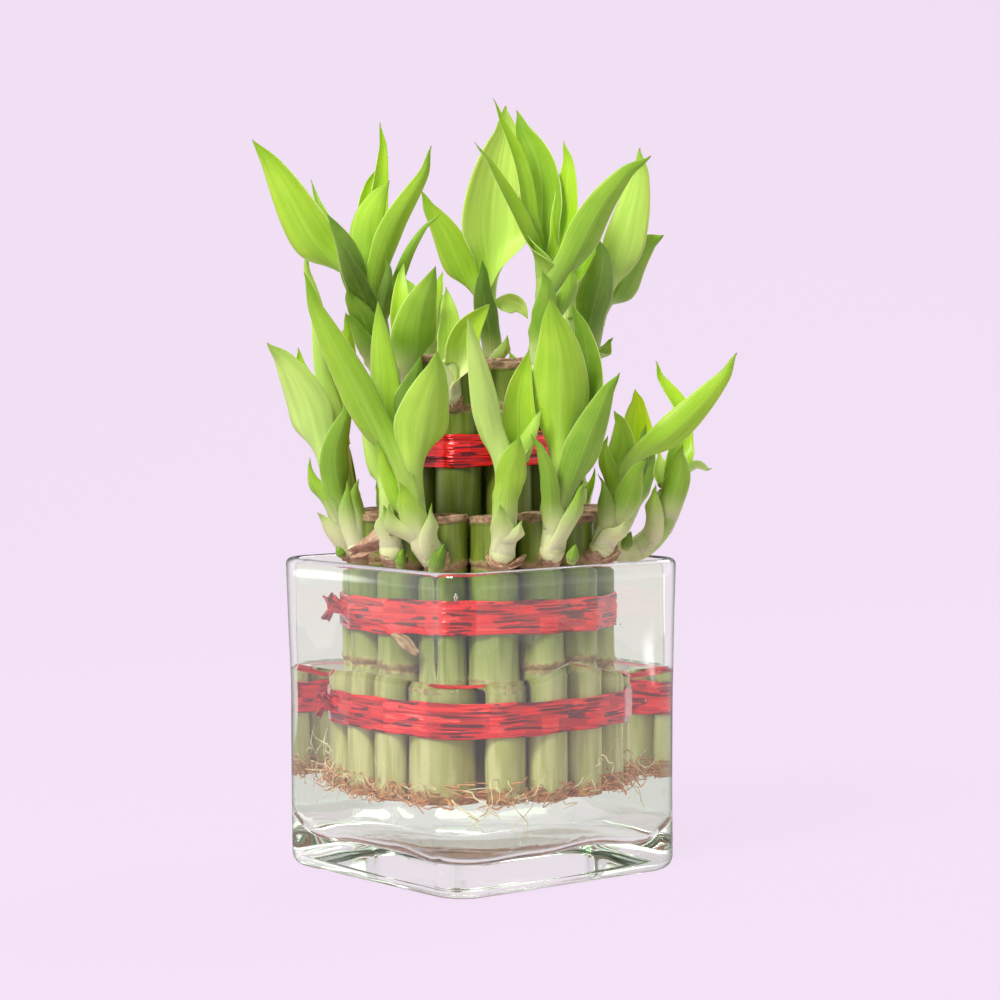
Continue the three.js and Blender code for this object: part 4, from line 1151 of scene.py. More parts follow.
def knot_skins(z):
    """A tight wrap with two short tails, at the left of the band."""
    x = KNOT_X
    skins = []
    for turn, (lift, seed) in enumerate(((0.0, 0.4), (0.9, 2.0), (-1.0, 3.7))):
        loop = [(x + 1.6, -2.4, z + lift), (x - 0.6 - 0.3 * turn, -2.2, z + 1.6 + lift),
                (x - 1.3, 0.2, z + 2.3 + lift), (x - 0.8, 2.3, z + 0.8 + lift),
                (x + 1.4, 2.6, z - 0.6 + lift)]
        skins.append(strip_skin(loop, (2.2, 3.6, 2.8, 3.4, 2.0), seed))
    tails = (((x, -1, z + 0.5), (x - 1.8, -2.8, z + 2.4), (x - 2.8, -4.4, z + 3.9)),
             ((x, 0.5, z - 0.3), (x - 2.4, 1.0, z - 1.8), (x - 4.0, 2.4, z - 4.4)),
             ((x, 1, z + 0.3), (x - 2.2, 2.8, z + 1.6), (x - 2.9, 4.6, z + 3.6)))
    for seed, tail in enumerate(tails):
        skins.append(strip_skin(tail, (1.2, 2.6, 3.4), 1.1 + seed))
    return skins


def build_ribbons():
    """Two bands round the outer tier, each with a knot, and one round the inner tier."""
    pieces = []
    for name, (stalks, bottom, seed, tied) in RIBBONS.items():
        skins = [band_skin(stalks, bottom, seed)]
        if tied:
            skins.extend(knot_skins(bottom + RIBBON_HEIGHT / 2))
        piece = make_piece(f"foil_band_{name}", skins, [RIBBON], [f"ribbon_{name}"])
        pieces.append(piece)
    return pieces


bands = build_ribbons()
print("bands:", len(bands), "faces of the first:", len(bands[0].data.polygons))

# %% [markdown]
# ## The shoots
# Each stalk carries one young shoot: a short stem with leaves that overlap like the skins of a
# leek. A leaf begins as a sheath that wraps the stem, opens, and flattens into a pointed blade. One
# table lists them all. A shoot is its stem's line, the radius at its foot and at its end, and its
# leaves. A leaf is the share of the stem where it leaves, a point its middle passes, its tip, its
# width, how far it is rolled, and its tone from pale to deep. The one yellow leaf has a tone below
# zero. A seventh value, where there is one, is the share of its length at which the blade lies
# open. Buds and dried husks sit at the feet of some shoots: a bud is its foot, tip, radius and
# tone, and a husk is its line, widths and seed.

# %% Shoot tables
# The tones in these tables are partly painted shade: leaves in the shade of others have deeper tones.
OUTER_SHOOTS = [
    ([(7, -43, 106), (8, -45.5, 112.5), (8.5, -46.5, 124), (9, -47.5, 134.5), (8.5, -48, 140)],
     3.9, 3.4, [
        (0.85, (2, -56, 160.5), (-3, -60, 184.5), 9, 12, 0.08),
        (0.55, (10.5, -54, 137), (13, -60, 146.5), 10, -12, 0.38),
        (0.85, (13, -46, 156.5), (17, -44, 173.5), 11, 10, 0.42),
        (0.8, (15.5, -50, 145.5), (20, -50, 155.5), 5.5, -10, 0.2),
        (0.1, (7.5, -51.5, 117), (7.5, -55.5, 125), 8, 0, 0.2),
        (0.2, (12, -50, 114), (13.5, -52, 120), 3, 0, 0.45),
    ]),
    ([(22.5, -36.5, 106.5), (24, -39.5, 111.5), (25, -41, 122), (27, -42, 133.5), (27, -42, 141)],
     3.8, 3.4, [
        (0.88, (26.5, -47, 162.5), (22, -52, 190), 19.5, 8, 0.3),
        (0.85, (36, -36, 169), (32, -34, 188.5), 12, -20, 0.85),
        (0.5, (35.5, -50, 147), (43.5, -54, 167), 12, 12, 0.68),
        (0.3, (22.5, -50, 132), (18, -53, 147.5), 6, 0, 0.6),
        (0.2, (31.5, -46, 123), (33, -48, 132), 4.5, 0, 0.55),
    ]),
    ([(38, -25.5, 106), (40.5, -26, 110), (43.5, -26, 120), (45.5, -25, 129.5), (46.5, -23, 136.5)],
     3.8, 3.2, [
        (0.9, (67, -20, 149.5), (86, -18, 171), 10.5, 15, 0.3),
        (0.35, (48.5, -32, 126), (53, -36, 138.5), 9, 8, 0.5),
        (0.75, (46.5, -25, 140.5), (45.5, -21, 153.5), 9.5, -10, 0.42),
        (0.6, (41.5, -27, 134.5), (41, -28, 145.5), 6, 0, 0.35),
        (0.3, (41, -31, 123.5), (39.5, -33, 133.5), 3, 0, 0.75),
        (0.2, (45.5, -32, 114), (47.5, -34, 118.5), 3.5, 0, 0.5),
    ]),
    ([(43.5, -8.5, 107.5), (52.5, -9, 107.5), (60, -8.5, 114.5), (64, -8, 125.5), (66, -7.5, 137.5)],
     4.2, 3.7, [
        (0.93, (67.5, 0, 152.5), (58, 5, 168.5), 6.5, 30, 0.35),
        (0.85, (73, 1, 134), (78, 8, 132), 4.5, 30, 0.1, 0.15),
        (0.6, (66, -13.5, 132), (66, -16, 142), 9, 0, 0.5),
        (0.75, (61.5, -4, 127), (60, -2, 140), 4.5, 0, 0.12),
        (0.35, (57, -14.5, 120.5), (57.5, -16, 129), 5, 0, 0.42),
    ]),
    ([(42.5, 10, 107), (46.5, 11, 112), (51, 12.5, 121.5), (52, 13, 132)],
     3.8, 3, [
        (0.95, (53, 14.5, 146.5), (54, 14, 159.5), 12, 12, -0.5),
        (0.75, (54.5, 8, 138), (55, 5.5, 148), 5.5, 0, 0.85),
        (0.6, (57.5, 10, 135.5), (58.5, 8, 145.5), 6, 10, 0.75),
        (0.4, (48, 19, 128), (47, 24, 142), 7, 50, 0.4),
    ]),
    ([(33.5, 26.5, 107), (34, 30, 115), (33, 34, 130), (31.5, 37, 142)],
     3.9, 3, [
        (0.9, (29.5, 43, 155), (29, 50, 172), 11, 15, 0.35),
        (0.7, (36, 43, 144), (37, 51, 156), 9, -30, 0.5),
        (0.5, (30, 43, 131), (27, 51, 142), 7, 20, 0.3),
        (0.25, (38, 35, 122), (40, 39, 132), 5, 0, 0.5),
    ]),
    ([(20.5, 38, 107), (21.5, 42, 115), (20, 46, 130), (18, 48, 140)],
     3.9, 3, [
        (0.9, (15.5, 52, 155), (11, 58, 172), 12, 10, 0.4),
        (0.7, (20, 58, 144), (23, 66, 158), 10, 20, 0.2),
        (0.45, (16, 55, 128), (14, 62, 139), 7, -25, 0.55),
        (0.2, (24, 47, 120), (25, 53, 128), 4, 0, 0.5),
    ]),
    ([(4, 43, 107), (4, 47, 115), (3, 50, 129), (2, 51, 141)],
     3.9, 3, [
        (0.9, (1, 58, 157), (-3, 68, 176), 13, 12, 0.3),
        (0.7, (6, 62, 143), (10, 74, 156), 11, 15, 0.5),
        (0.45, (-2, 58, 130), (-5, 68, 139), 8, -20, 0.4),
        (0.2, (7, 54, 119), (9, 60, 126), 4, 0, 0.5),
    ]),
    ([(-14, 40.5, 107), (-15, 44.5, 115), (-16, 47, 130), (-16, 48, 139)],
     3.9, 3, [
        (0.9, (-15, 54, 155), (-18, 62, 173), 12, -8, 0.25),
        (0.7, (-20, 56, 143), (-25, 66, 157), 10, 22, 0.45),
        (0.45, (-13, 55, 127), (-13, 64, 137), 7, 20, 0.6),
        (0.2, (-19, 50, 119), (-21, 56, 126), 4, 0, 0.5),
    ]),
    ([(-29, 31.5, 107), (-30.5, 35, 115), (-31, 36.5, 129), (-30.5, 37, 139)],
     3.9, 3, [
        (0.9, (-29, 41, 156), (-31, 45, 176), 11, 10, 0.4),
        (0.7, (-34, 45, 142), (-38, 54, 156), 10, 25, 0.3),
        (0.45, (-28, 44, 128), (-29, 52, 139), 7, 20, 0.5),
        (0.2, (-34.5, 40, 119), (-37, 45, 127), 4, 0, 0.5),
    ]),
    ([(-40.5, 16.5, 107), (-43, 17.5, 115), (-46, 17, 132), (-48.5, 16, 150)],
     3.8, 3, [
        (0.95, (-53.5, 12, 180.5), (-60.5, 8, 208), 6, 20, 0.12),
        (0.85, (-44, 16, 166), (-43, 13, 186), 9, 20, 0.3),
        (0.6, (-50, 21, 156), (-48, 22, 180), 8, -20, 0.25),
        (0.3, (-48.5, 26, 134), (-51.5, 34, 144.5), 8, 40, 0.4),
        (0.15, (-46.5, 22, 118), (-49, 25, 127), 4, 0, 0.5),
    ]),
    ([(-42.5, -1, 106), (-44.5, -2.5, 110), (-46.5, -4.5, 118.5), (-48.5, -4.5, 128.5), (-49.5, -4.5, 136)],
     3.8, 3.4, [
        (0.92, (-57, -8, 155.5), (-68, -12, 177), 15.5, -10, 0.08),
        (0.88, (-55, 0, 157.5), (-61.5, 2, 174), 9.5, 15, 0.35),
        (0.45, (-47.5, -9.5, 140.5), (-42, -10.5, 158), 10, 10, 0.72),
        (0.45, (-54, -7, 127.5), (-56.5, -7, 138), 4, 0, 0.5),
        (0.1, (-49, -7, 112.5), (-53.5, -8, 120), 7, -20, 0.5),
    ]),
    ([(-38.5, -19.5, 106.5), (-40, -19.5, 111), (-40.5, -20, 115)],
     3.6, 2.8, [
        (0.7, (-40, -23, 122.5), (-39.5, -27, 132), 5, 10, 0.65),
        (0.5, (-43.5, -24, 122), (-42.5, -25.5, 131.5), 4.5, 0, 0.6),
    ]),
    ([(-27.5, -33.5, 106.5), (-28.5, -36, 113), (-28.5, -37, 125.5), (-27.5, -37, 141)],
     3.8, 3.2, [
        (0.95, (-30.5, -38.5, 167.5), (-31.5, -41, 189.5), 10.5, -20, 0.28),
        (0.9, (-23, -38.5, 157.5), (-18, -41.5, 172), 9.5, 20, 0.85),
        (0.6, (-33.5, -38, 140), (-36.5, -36, 153.5), 6.5, 0, 0.15),
        (0.2, (-30, -42, 118), (-30, -44.5, 124.5), 4.5, 0, 0.5),
    ]),
    ([(-13.5, -41.5, 106.5), (-16, -43.5, 110), (-19.5, -45, 116.5), (-21, -46, 126), (-22, -47, 137)],
     4.2, 3.8, [
        (0.87, (-16, -56, 156.5), (-12, -61.5, 173.5), 17.5, 10, 0.22),
        (0.8, (-38.5, -54, 163), (-55.5, -58, 198), 11.5, 10, 0.48),
        (0.18, (-21.5, -52, 122), (-24, -56, 132.5), 8.5, 0, 0.34),
        (0.3, (-27, -50, 117.5), (-29, -52, 125), 5, 0, 0.5),
        (0.45, (-29, -48, 134.5), (-31, -50, 145.5), 5, 0, 0.3),
        (0.12, (-15, -51, 117), (-15.5, -54, 125.5), 3, 0, 0.6),
    ]),
]

INNER_SHOOTS = [
    ([(-8.5, -26.5, 157), (-9.5, -30, 163), (-9.5, -30, 173)],
     3.4, 3, [
        (0.35, (-4, -34, 179), (4, -36, 188.5), 11.5, 15, 0.25),
        (0.6, (-9.5, -27, 183.5), (-10.5, -24, 194), 8, 10, 0.2),
        (0.3, (-12, -35, 167), (-13, -37, 174), 4, 0, 0.5),
    ]),
    ([(15.5, -20.5, 158), (19.5, -20, 168), (22, -18.5, 182), (23.5, -18, 199)],
     3.8, 4, [
        (0.97, (15.5, -20.5, 227.5), (4.5, -23, 254.5), 5.5, 25, 0.5),
        (0.93, (10.5, -27, 223), (0.5, -33, 241), 6, 35, 0.5),
        (0.96, (20.5, -12.5, 232), (11.5, -8, 251.5), 15, -15, 0.66),
        (0.97, (29.5, -16, 225.5), (30, -14, 241.5), 9, -10, 0.38),
        (0.82, (38, -28, 216), (54.5, -31, 237), 11.5, 15, 0.55),
        (0.42, (22, -26, 188), (22, -28, 199), 8, 0, 0.68),
        (0.6, (29.5, -22, 192.5), (31, -22.5, 203), 7, 0, 0.5),
    ]),
    ([(27, -7, 158), (33, -3.5, 167), (38, 1.5, 179), (40.5, 3, 191)],
     3.6, 3.4, [
        (0.93, (50.5, 1, 218.5), (55.5, -2, 239.5), 14.5, -15, 0.15),
        (0.85, (52, 6, 202), (61, 4, 212), 15, 20, 0.74, 0.3),
        (0.55, (40, -6, 195), (41, -9, 210), 12.5, 10, 0.85),
        (0.4, (42.5, 3, 172.5), (44.5, 4, 177.5), 4.5, 0, 0.7),
    ]),
    ([(25.5, 12.5, 158), (28, 16, 167), (29.5, 19, 180), (30, 20, 194)],
     3.4, 3, [
        (0.95, (28, 23, 211), (22, 25, 229), 11, 15, 0.3),
        (0.9, (38, 24, 205), (44, 29, 220), 11, 20, 0.5),
        (0.7, (30, 29, 194), (30, 41, 206), 9, 40, 0.4),
        (0.5, (36, 25, 183), (41, 31, 193), 7, 10, 0.55),
        (0.25, (26, 24, 172), (24, 29, 180), 4, 0, 0.5),
    ]),
    ([(7, 26.5, 158), (5, 28, 166), (4, 27, 178), (3, 25, 190.5)],
     3.2, 2.4, [
        (0.95, (5.5, 23, 221), (12, 20, 255), 24, 10, 0.16),
        (0.9, (-9.5, 19, 208), (-20.5, 14, 226), 12, -12, 0.35),
        (0.45, (2, 20, 191), (2.5, 17, 203.5), 8, 0, 1),
        (0.9, (13.5, 29, 188.5), (17, 30, 184), 7.5, 5, 0, 0.08),
        (0.3, (8.5, 24, 172.5), (10, 23, 178), 4, 0, 0.6),
    ]),
    ([(-13, 26, 158), (-15.5, 30, 166), (-16.5, 32, 177), (-16, 33, 184)],
     3.2, 3, [
        (0.9, (-13.5, 35, 191), (-13, 37, 200), 8, 10, 0.35),
        (0.8, (-21, 38, 188), (-25, 43, 198), 9, -15, 0.5),
        (0.5, (-14, 41, 182), (-13, 49, 192), 8, 30, 0.3),
        (0.25, (-20, 33, 170), (-22, 35, 177), 4, 0, 0.5),
    ]),
    ([(-27, 6.5, 158), (-31.5, 3, 166), (-34, 0.5, 180), (-36, -1, 196.5)],
     4.1, 3.6, [
        (0.92, (-55.5, -9, 212.5), (-73, -12, 243), 15, -10, 0.34),
        (0.95, (-50, 6, 217), (-56, 10, 230.5), 4, 10, 0.6),
        (0.72, (-42, -14, 204), (-49, -19, 218), 9, 15, 0.88),
        (0.66, (-41.5, -20, 201), (-46, -24, 212), 7.5, 10, 1),
        (0.97, (-37, -8, 214), (-29.5, -11, 229.5), 13, -20, 0.3),
        (0.97, (-33, 2, 223), (-31, 3, 249), 6.5, 20, 0.42),
        (0.95, (-36.5, 3, 218.5), (-34, 5, 235), 8.5, 10, 0.4),
        (0.8, (-27, -16, 214.5), (-13, -21, 239), 9, 20, 0.42),
        (0.7, (-24.5, -5, 202), (-13.5, -6, 219), 4, 0, 0.6),
        (0.62, (-30, -12, 194.5), (-29, -14, 204), 5, 0, 0.95),
        (0.4, (-38, -10, 184), (-44, -16, 193.5), 9, 0, 0.7),
        (0.25, (-37, -8, 175), (-42, -14, 186), 6.5, 0, 0.6),
    ]),
    ([(-22, -17, 157), (-24, -21.5, 163.5), (-24, -24.5, 175)],
     3.4, 3, [
        (0.3, (-19.5, -33, 180.5), (-13, -37, 200.5), 15.5, 15, 0.52),
        (0.85, (-25, -24, 189.5), (-24.5, -21, 202), 6.5, -10, 0.25),
        (0.3, (-27.5, -27, 166), (-29, -29, 173), 4, 0, 0.5),
    ]),
]

BUDS = [
    ("outer", 14, (-14.5, -48, 103), (-11, -51, 112.5), 2.4, 0.85),
    ("outer", 3, (48, -12.5, 107.5), (50, -14, 113.5), 1.7, 0.85),
    ("outer", 1, (29.5, -42, 105.5), (31, -44, 111.5), 1.9, 0.8),
    ("outer", 13, (-25.5, -37, 104), (-24.5, -39, 110), 1.7, 0.8),
    ("outer", 11, (-45.5, -4, 105), (-47.5, -5, 109), 1.6, 0.75),
]

HUSKS = [
    ("outer", 12, [(-42, -26, 107.5), (-35, -33, 111), (-28, -40, 116)], (3, 5, 7, 5.5), 1.2),
    ("outer", 0, [(8, -47.5, 105), (5, -47, 105.5), (2.5, -44, 108)], (1.5, 2.5, 1), 2.4),
    ("outer", 0, [(9.5, -47.5, 104.5), (12.5, -46, 106), (15, -43, 108)], (1.5, 2.5, 1), 0.7),
    ("outer", 13, [(-26.5, -39, 82.5), (-22.5, -41.5, 80.5), (-18, -42, 76.5)], (1.5, 4.5, 2), 5.1),
    ("outer", 2, [(40, -29.5, 104.5), (43, -28.5, 105.5), (45.5, -26, 108)], (1.5, 2.5, 1.5), 1.9),
]

leaf_count = sum(len(shoot[3]) for shoot in OUTER_SHOOTS + INNER_SHOOTS)
print("shoots:", len(OUTER_SHOOTS) + len(INNER_SHOOTS), "leaves:", leaf_count)

# %% [markdown]
# ### Leaf mesh
# A leaf's section is an arc. At the sheath the arc wraps the stem, and the blade's arc is shallow,
# so one rule with a changing angle makes both. The blade gets a faint crease at its midrib, a
# little twist and sway, a slightly hooked tip and a soft wave at its margins. It has two skins,
# half a millimetre apart at the midrib and less than half that at the edge, which catches light.

# %% Leaf skin
LEAF_ROWS = 44
LEAF_ACROSS = 13
SHEATH_LENGTH = 7.0
SHORT_LEAF = 30.0
MOST_TWIST = math.radians(12)
SWAY = 0.014
TIP_HOOK = 0.035
MARGIN_WAVE = 0.13
CREASE = 0.15
EDGE_THICKNESS = 0.2
RIB_THICKNESS = 0.48
SKIN_GAP = 0.35
AWAY = np.array([0.0, 1.0, 0.0])


def turn_about(vectors, axes, angle):
    """Vectors turned about unit axes at right angles to them."""
    angle = np.asarray(angle, float).reshape(-1, 1)
    return vectors * np.cos(angle) + np.cross(axes, vectors) * np.sin(angle)


def blade_widths(t, short):
    """Share of the full width along a blade, from its foot at 0 to its tip at 1."""
    t = np.clip(t, 0, 1)
    if short:
        return (0.6 + 0.55 * ease(t / 0.4)) * (1 - t**2.2)
    return (0.45 + 0.75 * ease(t / 0.45)) * (1 - t**2.6)


def leaf_skin(stem, radii, leaf, seed, natural):
    """One leaf on a stem. A natural leaf faces its stem; the others are turned towards the viewer."""
    at, bend, tip, width, turn, tone, *spread = leaf
    share = np.linspace(0, 1, len(stem))

    def on_stem(u):
        return np.array([np.interp(u, share, stem[:, k]) for k in range(3)])

    stem_length = np.linalg.norm(np.diff(stem, axis=0), axis=1).sum()
    reach = np.linalg.norm(np.subtract(tip, on_stem(at)))
    start, low = on_stem(at), on_stem(max(at - min(SHEATH_LENGTH, 0.3 * reach) / stem_length, 0))
    axis = unit(on_stem(min(at + 0.08, 1)) - on_stem(max(at - 0.08, 0)))
    lean = np.asarray(bend) - start
    outward = unit(lean - axis * np.dot(lean, axis))
    radius = np.interp(at, share, radii)
    line = smooth_line([low + outward * (radius - 0.3), start + outward * radius, bend, tip], LEAF_ROWS)
    length = np.linalg.norm(np.diff(line, axis=0), axis=1).sum()
    short = length < SHORT_LEAF
    sheath = np.linalg.norm(start - low)
    t = (np.linspace(0, length, LEAF_ROWS) - sheath) / (length - sheath)
    free = np.clip(t, 0, 1)[:, None]
    sideways = unit(np.cross(line[-1] - line[LEAF_ROWS // 2], AWAY))
    sway = SWAY * math.sin(7 * seed) * np.sin(2 * math.pi * free)
    hook = TIP_HOOK * math.sin(9 * seed) * ease(free * 6 - 5)
    line = line + sideways * (sway + hook) * length
    along = unit(np.gradient(line, axis=0))
    wrapped = unit(-outward - along * (along @ -outward)[:, None])
    if natural:
        blade_up = turn_about(wrapped, along, math.radians(turn))
    else:
        across = unit(np.cross(along, AWAY))
        blade_up = np.cross(along, turn_about(across, along, math.radians(turn)))
        if (blade_up * wrapped).sum() < 0:
            blade_up = -blade_up
    open_at = spread[0] if spread else (0.85 if short else 0.36)
    opened = ease(t / open_at)[:, None]
    up = unit(wrapped * (1 - opened) + blade_up * opened)
    up = unit(up - along * (up * along).sum(axis=1, keepdims=True))
    twist = MOST_TWIST * math.sin(seed * 5) * np.clip(t, 0, 1) ** 1.5
    up = turn_about(up, along, twist)
    across = np.cross(up, along)

    grip = radius + SKIN_GAP
    blade_half = np.maximum(width / 2 * blade_widths(t, short), 0.1)[:, None]
    wrap = max(grip * (1.35 if short else 1.75), blade_half[0, 0])
    half = wrap * (1 - opened) + blade_half * opened
    flat = (0.9 if short else 0.72) - 0.3 * free
    theta = half / grip * (1 - opened) + flat * opened
    side = np.linspace(-1, 1, LEAF_ACROSS)[None, :]
    bend_radius = half / theta
    swing = MARGIN_WAVE * width * (0.4 if short else 1)
    wave = np.sin(free * 8.5 + seed * 3 + side * 1.2) * side**2 * free * (1 - free) * swing
    crease_lift = CREASE * half * np.abs(side) ** 0.7 * opened * (1 - 0.5 * free)
    x = bend_radius * np.sin(side * theta)
    y = bend_radius * (1 - np.cos(side * theta)) + crease_lift + wave * 0.5
    across, up = across[:, None, :], up[:, None, :]
    middle = line[:, None, :] + x[..., None] * across + y[..., None] * up
    normal = np.cos(side * theta)[..., None] * up - np.sin(side * theta)[..., None] * across
    thickness = EDGE_THICKNESS + (RIB_THICKNESS - EDGE_THICKNESS) * (1 - side**2)
    thickness = (thickness * (1 - 0.5 * free))[..., None] / 2
    rings = np.concatenate([middle - normal * thickness, (middle + normal * thickness)[:, ::-1]], axis=1)

    s = np.broadcast_to(side, (LEAF_ROWS, LEAF_ACROSS))
    both = np.concatenate([s, s[:, ::-1]], axis=1)
    faces_up = np.concatenate([-np.ones_like(s), np.ones_like(s)], axis=1) * width / 2
    above_foot = rings[..., 2] - stem[0, 2]
    place = np.stack([both, np.broadcast_to(t[:, None], both.shape), above_foot], axis=-1)
    kind = np.stack([np.full_like(both, tone), np.full_like(both, seed), faces_up], axis=-1)
    points, faces = skin_rings(rings)
    return points, faces, place.reshape(-1, 3), kind.reshape(-1, 3), 0


print("a leaf has", LEAF_ROWS, "rows of", 2 * LEAF_ACROSS, "points")

# %% [markdown]
# ### Buds, collars and husks
# Where a shoot breaks out of its cane it tears the old skin. That leaves a ragged brown collar
# round its foot and, on some, a dried scale. A bud is a short spindle. A collar is a loop of thin
# sheet with an uneven top edge, and a husk is a crumpled strip like the tails of the ribbons, only
# brown.

# %% Bud and collar skins
BUD_ROWS = 16
BUD_SIDES = 16
COLLAR_SIDES = 48


def bud_skin(low, high, radius, tone, seed):
    """A pointed bud from its foot to its tip."""
    line = smooth_line([low, (np.add(low, high) / 2) + [0, -0.3, 0], high], BUD_ROWS)
    share = np.linspace(0, 1, len(line))
    radii = radius * (1 - share**2.2) * (0.75 + 0.5 * ease(share / 0.4)) + 0.06
    rings = tube_rings(line, radii, BUD_SIDES)
    sweep = np.linspace(0, 2 * math.pi, BUD_SIDES, endpoint=False)
    across = np.broadcast_to(np.cos(sweep) * 0.8, rings.shape[:2])
    along = np.broadcast_to(share[:, None], rings.shape[:2])
    place = np.stack([across, along, 14 + 10 * along], axis=-1)
    points, faces = skin_rings(rings)
    return points, faces, place.reshape(-1, 3), (tone, seed, radius), 0


def collar_skin(foot_place, axis, radius, seed):
    """A ragged ring of torn skin round the foot of a shoot."""
    angle = np.linspace(0, 2 * math.pi, COLLAR_SIDES, endpoint=False)
    first = unit(np.cross(axis, [0.3, 0.9, 0.3]))
    round_about = np.outer(np.cos(angle), first) + np.outer(np.sin(angle), np.cross(axis, first))
    top = 1.9 + 0.8 * np.sin(2 * angle + seed)
    top = top + 0.5 * np.sin(5 * angle + 2 * seed) + 0.3 * np.sin(11 * angle + seed)
    top = np.maximum(top, 0.3)
    flare = 0.35 + 0.35 * np.sin(3 * angle + 1.7 * seed)
    outside = ((np.full_like(top, -1.4), np.full_like(top, radius + 0.25)),
               (top * 0.5, radius + 0.45 + 0.3 * flare), (top, radius + 0.5 + flare))
    inside = [(height, reach - 0.25) for height, reach in outside[::-1]]
    loop = [foot_place + np.outer(height, axis) + round_about * reach[:, None]
            for height, reach in (*outside, *inside)]
    rings = np.stack(loop, axis=1)[:, ::-1]
    heights = np.array([0, 0.5, 1, 1, 0.5, 0])
    around, up = np.outer(angle * radius, np.ones_like(heights)), np.outer(top, heights)
    place = np.stack([around, up, np.zeros_like(up)], axis=-1)[:, ::-1]
    points, faces = skin_rings(rings, closed=True)
    return points, faces, place.reshape(-1, 3), (0, seed, 0), 2


print("bud and collar skins are ready")

# %% [markdown]
# ### Stem mesh
# The stem grows out of the cane just above a ring. Its foot is a swollen cream collar with a few
# wrinkles and a brown scar where it breaks out of the bark. Above that it is only seen between the
# sheaths, and a faint brown line marks where each of them starts.

# %% Stem skin
STEM_ROWS = 64
STEM_SIDES = 28
STEM_FOLDS = ((0.35, 3.2, 1.6), (-0.3, 1.0, 0.5), (-0.12, 5.6, 0.4))


def stem_skin(points, place, foot, end, leaves, seed):
    """The stem's tube, rooted in its stalk, with its collar and sheath lines."""
    rooted = np.asarray(points[0]) + (place - points[0]) * [0.4, 0.4, 0] + [0, 0, -1.2]
    line = smooth_line([rooted, *points], STEM_ROWS)
    length = np.linalg.norm(np.diff(line, axis=0), axis=1).sum()
    buried = np.linalg.norm(np.asarray(points[0]) - rooted)
    height = np.linspace(0, length, STEM_ROWS) - buried
    share = np.clip(height / (length - buried), 0, 1)
    radii = foot + (end - foot) * share
    for swell, level, reach in STEM_FOLDS:
        radii = radii + swell * np.exp(-((height - level) / reach) ** 2)
    radii = radii * (1 - 0.8 * ease((share - 0.7) / 0.3))
    rings = tube_rings(line, radii, STEM_SIDES)
    sweep = np.linspace(0, 2 * math.pi, STEM_SIDES, endpoint=False)
    ragged = 0.5 * np.sin(5 * sweep + seed) + 0.3 * np.sin(11 * sweep + 2 * seed)
    h = height[:, None]
    scar = np.exp(-(np.maximum(h - 0.6 + 0.8 * ragged, 0) / 0.9) ** 2)
    for at, *_ in leaves:
        gap = h - at * length + SHEATH_LENGTH + ragged * 0.4
        scar = np.maximum(scar, 0.4 * np.exp(-(gap / 0.35) ** 2))
    around, above = np.broadcast_to(sweep * foot, scar.shape), np.broadcast_to(h, scar.shape)
    place_marks = np.stack([around, above, np.zeros_like(scar)], axis=-1)
    kind = np.stack([np.zeros_like(scar), np.full_like(scar, seed), scar], axis=-1)
    vertices, faces = skin_rings(rings)
    return vertices, faces, place_marks.reshape(-1, 3), kind.reshape(-1, 3), 1


print("a stem has", STEM_ROWS, "rows of", STEM_SIDES, "points")

# %% [markdown]
# ### One piece for each shoot
# A shoot grows as one body, and the frame counts it as one. So its stem, leaves, collar, buds and
# husks are joined in one mesh with three finishes. The leaves in front are turned towards the
# viewer, as they were seen. Those at the back face their own stems, as leaves do.

# %% Build the shoots
HIDDEN = {"outer": (5, 6, 7, 8, 9), "inner": (3, 5)}
STEM_POINTS = 60


def build_shoots():
    """One piece for each shoot: its stem and all its leaves."""
    pieces = []
    for tier, shoots, stalks in (("outer", OUTER_SHOOTS, OUTER_STALKS),
                                 ("inner", INNER_SHOOTS, INNER_STALKS)):
        for index, (points, foot, end, leaves) in enumerate(shoots):
            stem = smooth_line(points, STEM_POINTS)
            radii = np.linspace(foot, end, len(stem))
            natural = index in HIDDEN[tier]
            skins = [stem_skin(points, stalks[index][1], foot, end, leaves, index + 0.5)]
            for number, leaf in enumerate(leaves):
                skins.append(leaf_skin(stem, radii, leaf, 0.37 * number + 1.1 * index, natural))
            axis = unit(unit(stem[6] - stem[0]) + [0, 0, 0.6])
            skins.append(collar_skin(stem[0], axis, foot, 1.3 * index + 0.4))
            for low, high, radius, tone in (bud[2:] for bud in BUDS if bud[:2] == (tier, index)):
                skins.append(bud_skin(low, high, radius, tone, index))
            for line, widths, seed in (husk[2:] for husk in HUSKS if husk[:2] == (tier, index)):
                skins.append((*strip_skin(line, widths, seed, 0.3)[:3], (0, seed, 0), 2))
            label = f"{index + 1:02d}"
            pieces.append(make_piece(f"sprout_{tier}_{label}", skins, [LEAF, STEM, HUSK],
                                     [f"shoot_{tier}_{label}"]))
    return pieces


sprouts = build_shoots()
print("sprouts:", len(sprouts), "faces of the first:", len(sprouts[0].data.polygons))

# %% [markdown]
# ## Stage
# A plain pale lilac sheet runs under the vase and curves up behind it, so there is no horizon. It
# could be lit by lamps alone, but then it would darken towards its edges. A sheet that glows by
# itself in one even tone takes only a faint shadow from the vase.

# %% Backdrop
LILAC = colour(241, 223, 244)
SHEET_REACH = 6000.0
SHEET_BEND = 900.0
SHEET_TOP = 2400.0
SHEET_DROP = 0.05
SHEET_GLOW = 0.945
SHEET_GREY = 0.06
BEND_ROWS = 14
SHEET_COLUMNS = 25


def stage_finish():
    """A matt lilac sheet, lit evenly from within."""
    material, _, shader = new_finish("lilac_sheet", Roughness=1.0, Specular_IOR_Level=0.0)
    shader.inputs["Base Color"].default_value = (*[SHEET_GREY * c for c in LILAC[:3]], 1.0)
    shader.inputs["Emission Color"].default_value = LILAC
    shader.inputs["Emission Strength"].default_value = SHEET_GLOW
    return material


